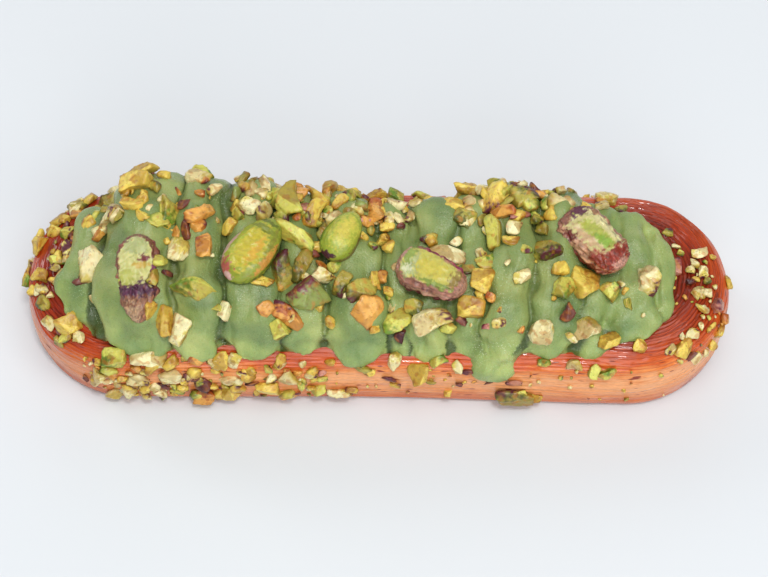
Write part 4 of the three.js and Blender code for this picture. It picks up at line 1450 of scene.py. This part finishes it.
BITS_ON_FRONT = [
    (-56, 9.4, 2.6, 1.2, 0, "pale"),
    (-53.4, 10.8, 2.2, 1.6, 0, "gold"),
    (-47.7, 6.8, 2, 1.2, 0, "pale"),
    (-45, 8, 2.4, 1.2, -20, "skinned"),
    (-41, 7, 2, 1.6, 0, "gold"),
    (-36.5, 9.8, 2.6, 1.4, 10, "green"),
    (-39, 12, 2, 1.4, 60, "pale"),
    (-38.2, 10.6, 2, 1.2, 0, "skinned"),
    (-28, 12.8, 2, 1.6, 0, "pale"),
    (-25.6, 9, 2.8, 1.2, -30, "skinned"),
    (-20, 16.6, 2.4, 2, 60, "gold"),
    (-16.5, 13, 2, 1.4, 0, "toasted"),
    (-13.6, 12.4, 2.4, 1.4, 0, "pale"),
    (-11.2, 13, 2, 1.1, 0, "pink"),
    (-11, 11, 2, 1.1, 0, "green"),
    (-15.2, 9.8, 1.6, 1.2, 0, "green"),
    (-4.9, 5.4, 2.4, 2, 0, "gold"),
    (-2.7, 15, 3.6, 1.6, 0, "olive"),
    (-1.4, 13.6, 2, 1.6, 0, "gold"),
    (3, 10.8, 2.6, 1, -20, "skinned"),
    (4, 8.6, 2, 1.1, 0, "gold"),
    (11, 10.4, 2.6, 1.1, 0, "olive"),
    (13.1, 16.6, 2.8, 2.2, 40, "green"),
    (15.2, 5, 1.7, 1.3, 0, "gold"),
    (17.6, 9.6, 1.4, 1, 0, "skinned"),
    (19.4, 14.6, 1.8, 1.3, 0, "skinned"),
    (23.6, 10.6, 2, 0.9, 0, "skinned"),
    (28.9, 11, 3.2, 1.5, 0, "pink"),
    (31.4, 7.2, 2.4, 1.8, 0, "green"),
    (41.5, 16.8, 3, 2, 0, "pale"),
    (35, 17, 2.8, 1.4, 0, "green"),
]
# At the right end the first number is y and the second the height
ON_RIGHT_END = [
    (-8, 14.6, 3.2, 2.4, 0, "toasted"),
    (-10.5, 13.4, 3, 1.8, 90, "gold"),
    (-13, 12.6, 2.6, 2, 0, "gold"),
    (-15, 12, 2, 1.6, 0, "pale"),
    (0.8, 15.4, 2.6, 1.6, 90, "gold"),
]
listed = BITS_ON_CREAM, BITS_ON_RIM, BITS_ON_FRONT, ON_RIGHT_END
print("bits on cream, rim, front and right end:", [len(bits) for bits in listed])

# %% [markdown]
# Each kind of nut has the colour of its heart, and that of the side that lay under the skin.
# A nut that is strewn by chance takes its kind by how common the kinds are.

# %% Kinds of nut
KINDS = {
    "pale": ("#f7ebb0", "#dcc75c"),
    "gold": ("#efd25c", "#c7952f"),
    "green": ("#dad662", "#6f9128"),
    "olive": ("#b5a745", "#5d6320"),
    "toasted": ("#eeb054", "#b45b22"),
    "pink": ("#d3937f", "#9a4644"),
    "crimson": ("#94a352", "#7a2440"),
    "skinned": ("#86483a", "#501b29"),
}
COMMONNESS = [0.28, 0.29, 0.15, 0.12, 0.07, 0.03, 0.02, 0.04]
print("kinds of nut:", dict(zip(KINDS, COMMONNESS)))

# %% [markdown]
# Last come crumbs, which are strewn by chance within patches. Each patch says how many there
# are, which seed draws them, between which corners they lie, how long they are and how far
# apart. The corners are x and y on the cream and the rim, and x and height on a wall.

# %% Patches of crumbs
cream_face, rim_face = (cream_tree, DOWN, above), (dough_tree, DOWN, above)
front_face, back_face = (dough_tree, TO_BACK, in_front), (dough_tree, TO_FRONT, behind)
CRUMB_PATCHES = [
    (cream_face, (34, 61, (-62, -17), (58, 17), (0.7, 1.7), 4)),
    (cream_face, (26, 67, (-28, 5), (8, 17), (0.8, 1.9), 1.6)),
    (cream_face, (30, 101, (-30, 6), (6, 16.5), (1.7, 3.2), 2.6)),
    (cream_face, (12, 103, (20, 6), (44, 16), (1.5, 3), 3)),
    (cream_face, (12, 105, (-62, 4), (-34, 16), (1.5, 3), 3)),
    (rim_face, (20, 107, (-75, -8), (-60, 18), (1.6, 3.2), 2.6)),
    (front_face, (34, 109, (-60, 3), (-8, 17), (1.4, 2.8), 2.6)),
    (cream_face, (12, 68, (-48, -4), (-36, 8), (0.8, 1.8), 1.8)),
    (cream_face, (34, 111, (-30, 5), (8, 17.5), (2.6, 4.4), 3.2)),
    (cream_face, (16, 113, (18, 6), (38, 16.5), (2.6, 4.2), 3.4)),
    (cream_face, (14, 115, (-60, 2), (-44, 17), (2.4, 3.8), 3.4)),
    (cream_face, (30, 117, (-24, -16), (26, 4), (1.6, 3), 4)),
    (rim_face, (18, 119, (-75, -18), (-62, 16), (2.2, 3.6), 3)),
    (front_face, (26, 121, (-56, 3), (-10, 17), (2.2, 3.8), 3.4)),
    (rim_face, (26, 71, (-75, -18), (-60, 18), (0.7, 1.9), 1.6)),
    (rim_face, (40, 73, (60, -19), (74, 8), (0.6, 1.6), 1.2)),
    (front_face, (60, 79, (-62, 3), (-8, 17), (0.6, 1.8), 1.3)),
    (front_face, (40, 83, (-8, 3), (64, 17), (0.5, 1.3), 1.6)),
    (back_face, (44, 89, (-62, 2), (62, 17), (0.6, 1.7), 1.8)),
]
print("patches of crumbs:", len(CRUMB_PATCHES))

# %% Seated nuts and strewn crumbs
nuts = seat(cream_tree, LARGE_ON_CREAM + SMALL_ON_CREAM, DOWN, above, 100)
nuts += seat(dough_tree, LARGE_ON_RIM + SMALL_ON_RIM, DOWN, above, 300)
nuts += seat(dough_tree, LARGE_ON_FRONT + SMALL_ON_FRONT, TO_BACK, in_front, 400)
on_back = scatter(9, 53, (-56, 3.5), (56, 14), (2.6, 3.8), 6)
nuts += seat(dough_tree, on_back, TO_FRONT, behind, 500)
bits = seat(cream_tree, BITS_ON_CREAM, DOWN, above, 700)
bits += seat(dough_tree, BITS_ON_RIM, DOWN, above, 800)
bits += seat(dough_tree, BITS_ON_FRONT, TO_BACK, in_front, 900)
bits += seat(dough_tree, ON_RIGHT_END, TO_LEFT, at_right, 1000)

on_back = scatter(16, 97, (-60, 2), (60, 17), (1.6, 2.8), 4)
crumbs = seat(dough_tree, on_back, TO_FRONT, behind, 1100)
for number, ((tree, towards, start_of), patch) in enumerate(CRUMB_PATCHES):
    crumbs += seat(tree, scatter(*patch), towards, start_of, 2000 + 100 * number)
print("chopped nuts:", len(nuts), "bits:", len(bits), "crumbs:", len(crumbs))

# %% [markdown]
# ## The broken shape of each nut
#
# The grid of directions is shared by all nuts of a size. The power that rounds the edges is
# high, because chopped nuts are crisp. Two slanting cuts make a wedge of each block, and chips
# are missing from its corners. They take a part of the nut away, so it starts a little larger.
# It also curls a little, and a little noise roughens the broken sides.

# %% Nut shapes
EDGE_POWER = 55
CUTS, CHIPS, GROWN = 2, 6, 1.07
# How far out from the centre cuts and chips pass, as shares of the nut's reach
CUT_REACH, CHIP_REACH = (0.36, 0.62), (0.6, 0.92)
CURL = 0.25


def directions(rows, around):
    """Directions over a sphere, from its lower pole to its upper one."""
    climb = np.linspace(-np.pi / 2, np.pi / 2, rows)[:, None]
    turned = np.linspace(0, 2 * np.pi, around, endpoint=False)[None]
    flat = np.cos(climb)
    flat[[0, -1]] = 0
    sphere = [flat * np.cos(turned), flat * np.sin(turned), np.sin(climb) + 0 * turned]
    return np.stack(sphere, -1)


def broken_planes(corners, rng):
    """Outward normals over distances from the centre, for the sides of the corners' convex
    hull, for two slanting cuts, which leave a wedge, and for a few chips off its corners."""
    hull = bmesh.new()
    for corner in corners:
        hull.verts.new(corner)
    bmesh.ops.convex_hull(hull, input=hull.verts)
    hull.normal_update()
    planes = [np.array(f.normal) / max(f.normal.dot(f.verts[0].co), 0.1) for f in hull.faces]
    hull.free()
    share = np.append(rng.uniform(*CUT_REACH, CUTS), rng.uniform(*CHIP_REACH, CHIPS))
    slants = rng.normal(size=(CUTS + CHIPS, 3)) / np.abs(corners).max(0)
    slants /= np.linalg.norm(slants, axis=1, keepdims=True)
    reach = (corners @ slants.T).max(0) * share
    return np.concatenate([planes, slants / reach[:, None]])


def nut_points(towards, corners, axes, centre, seed):
    """Radius in each direction d: (sum over the sides of (n . d / h) ^ p) ^ (-1 / p), with n
    the side's normal, h its distance and p the power that rounds the edges. Broken sides get
    a roughness of a thirtieth of the nut's size, and each nut curls a little, as y and z
    shift with the square of x. Also gives the number of the side."""
    rng = np.random.default_rng(seed)
    planes = broken_planes(corners, rng)
    facing = np.maximum(towards @ planes.T, 0)
    radius = (facing**EDGE_POWER).sum(-1) ** (-1 / EDGE_POWER)
    local = GROWN * towards * radius[..., None]
    size = np.abs(corners).max()
    rough = 0.022 * uneven(local / size, 0.7, seed) + 0.013 * uneven(local / size, 0.3, seed + 1)
    local = local + towards * (size * rough)[..., None]
    curled = local[..., :1] ** 2 / size - size / 3
    curl = rng.uniform(-CURL, CURL, 2) * [1, 0.6]
    local[..., 1:] += curl * curled
    return local @ axes.T + centre, np.argmax(facing, axis=-1)


# %% [markdown]
# ## The colours of each nut
#
# A broken nut shows its heart on some sides and its greener or browner outside on others, and
# each side catches the light in its own way. So each side gets its own tone of painted light and
# shade. Most stay light, and the painted shade is warm, because the darker sides lose blue first.
# Under the skin some keep a shred of it, some flesh is roasted, and all have specks.

# %% Nut colours
SKIN_CHANCE = 0.4
# Painted light and shade of each broken side: from BRIGHTEST down by up to DARKENING, mostly light,
# and warm where darker.
BRIGHTEST, DARKENING, MOSTLY_LIGHT = 1.1, 0.64, 1.3
WARM_SHADE_POWERS = 0.7, 1, 1.5  # powers of the tone for red, green and blue


def nut_tints(points, side_number, kind, rng):
    """From the colour under the skin on one side of the nut to the colour of its heart, a
    third of the way in. Each broken side has its own painted light and shade, a little lighter
    or darker than the next. Some nuts keep a shred of dark skin, and all have a few brown specks."""
    heart, outside = (linear(colour) for colour in KINDS[kind])
    side = rng.normal(size=3)
    side /= np.linalg.norm(side)
    depth = points @ side
    depth = (depth.max() - depth) / np.ptp(depth)
    ragged = 0.10 * uneven(points, 1.3, rng.integers(10**6))
    ragged += 0.05 * uneven(points, 0.5, rng.integers(10**6))
    share = ease(0.1, 0.5, depth + ragged)[..., None]
    colour = outside + (heart - outside) * share
    blush = ease(0.8, 1.4, uneven(points, 1.8, rng.integers(10**6)))[..., None]
    colour = colour + 0.55 * (linear("#c98431") - colour) * blush
    # Painted light and shade: each broken side gets its own tone, warm where it is darker.
    side_light_tone = BRIGHTEST - DARKENING * rng.random(side_number.max() + 1) ** MOSTLY_LIGHT
    colour[..., :3] *= side_light_tone[side_number][..., None] ** np.array(WARM_SHADE_POWERS)
    if rng.random() < SKIN_CHANCE:
        papery = 1 - ease(0.06, 0.12, depth + 0.8 * ragged)
        colour = colour + (linear("#5f2230") - colour) * papery[..., None]
    speck = ease(1.5, 1.9, uneven(points, 0.5, rng.integers(10**6)))[..., None]
    colour = colour + 0.45 * (linear("#7c4a2c") - colour) * speck
    return np.clip(colour, 0, 1)


# %% [markdown]
# ## All chopped nuts
#
# The nuts are worked out one by one and joined into one piece for each kind. The larger a nut
# is, the finer its grid, and a crumb has only a few dozen faces. The seeds lie far enough apart
# for no two nuts to share one.

# %% Chopped nuts by kind
SMALL = 0.95  # millimetres from the middle of a crumb to its end


def reach(crumb):
    """How far a seated nut goes from its middle."""
    return np.abs(crumb[0]).max()


rng = np.random.default_rng(7)
names = list(KINDS)
batches = {kind: ([], []) for kind in names}
for group, towards, seed in (
    (nuts, directions(34, 50), 0),
    (bits, directions(19, 26), 3000),
    ([crumb for crumb in crumbs if reach(crumb) >= SMALL], directions(13, 18), 5000),
    ([crumb for crumb in crumbs if reach(crumb) < SMALL], directions(7, 9), 7000),
):
    for number, (corners, axes, centre, kind) in enumerate(group):
        kind = kind or rng.choice(names, p=COMMONNESS)
        points, side = nut_points(towards, corners, axes, centre, seed + 2 * number)
        batches[kind][0].append(points)
        batches[kind][1].append(nut_tints(points, side, kind, rng))
for kind, (surfaces, tints) in batches.items():
    tint = np.concatenate([values.reshape(-1, 4) for values in tints])
    chopped = mesh_piece(f"chopped_nuts_{kind}", surfaces, tint=tint)
    chopped.data.materials.append(pistachio)
    place(chopped, "nut", "pastry", "cream")

# %% [markdown]
# ## Floor, light and camera
#
# The danish lies on a pale matt floor, in a room whose air is a little blue, as daylight is.
# Both are plain, so that nothing but the danish draws the eye.

# %% Floor and room
FLOOR_HALF = 2.0
floor_mesh = bpy.data.meshes.new("floor")
floor_mesh.from_pydata(
    [(x * FLOOR_HALF, y * FLOOR_HALF, 0) for x, y in ((-1, -1), (1, -1), (1, 1), (-1, 1))],
    [],
    [(0, 1, 2, 3)],
)
floor = bpy.data.objects.new("floor", floor_mesh)
bpy.context.collection.objects.link(floor)
paper, tree, output = new_material("pale_floor")
floor_shader = add(tree, "ShaderNodeBsdfPrincipled", Roughness=0.9)
floor_shader.inputs["Base Color"].default_value = linear("#dadee1")
tree.links.new(floor_shader.outputs[0], output.inputs[0])
floor_mesh.materials.append(paper)

world = bpy.data.worlds.new("bright_room")
world.use_nodes = True
world.node_tree.nodes["Background"].inputs["Color"].default_value = linear("#f4f8ff")
world.node_tree.nodes["Background"].inputs["Strength"].default_value = 0.25
bpy.context.scene.world = world
print("floor, m:", 2 * FLOOR_HALF, "square")

# %% [markdown]
# A broad light overhead and a little to the front keeps shadows soft, and a small lamp beside
# it gives glaze and cream their sharp highlights. A light in front fills the wall, and one at
# the back and two windows give the glaze something bright to reflect.

# %% Lights
MIDDLE = (0, 0, 0.01)


def area_light(name, place_m, target, size, power):
    """A square light of a size in metres that faces its target."""
    light = bpy.data.lights.new(name, "AREA")
    light.size = size
    light.energy = power
    lamp = bpy.data.objects.new(name, light)
    lamp.location = place_m
    lamp.rotation_euler = (Vector(target) - Vector(place_m)).to_track_quat("-Z", "Y").to_euler()
    bpy.context.collection.objects.link(lamp)


for name, place_m, size, power in (
    ("ceiling", (0.12, -0.25, 1.1), 0.9, 5.6),
    ("lamp", (0.1, -0.3, 1.05), 0.14, 3.4),
    ("room_front", (0.1, -0.95, 0.5), 0.6, 3.8),
    ("back_wall", (0, 1.1, 0.7), 1, 3),
    ("right_window", (0.9, -0.5, 0.65), 0.35, 1.4),
    ("left_window", (-0.75, 0.5, 0.5), 0.35, 2),
):
    area_light(name, place_m, MIDDLE, size, power)
    print(name, "light, m:", size, "W:", power)

# %% [markdown]
# The camera looks down steeply from the front with a long lens, which keeps near and far almost
# the same size. It is placed by its angles, its distance and two small shifts of the point it
# looks at, in millimetres.

# %% Camera
ELEVATION, AZIMUTH = np.radians(60), np.radians(1)
DISTANCE = 458.83
SHIFT_RIGHT, SHIFT_UP = 1.386, 5.677
back = np.array(
    [
        np.sin(AZIMUTH) * np.cos(ELEVATION),
        -np.cos(AZIMUTH) * np.cos(ELEVATION),
        np.sin(ELEVATION),
    ]
)
right = np.array([np.cos(AZIMUTH), np.sin(AZIMUTH), 0])
upward = np.cross(back, right)
lens = bpy.data.cameras.new("camera")
lens.lens = 97.75
lens.sensor_width = 36
lens.clip_start = 0.01
camera = bpy.data.objects.new("camera", lens)
camera.location = (DISTANCE * back + SHIFT_RIGHT * right + SHIFT_UP * upward) * MM
camera.rotation_euler = Vector(-back).to_track_quat("-Z", "Y").to_euler()
bpy.context.collection.objects.link(camera)
bpy.context.scene.camera = camera
bpy.context.scene.view_settings.view_transform = "Standard"
print("camera from the middle, mm:", round((camera.location / MM).length))
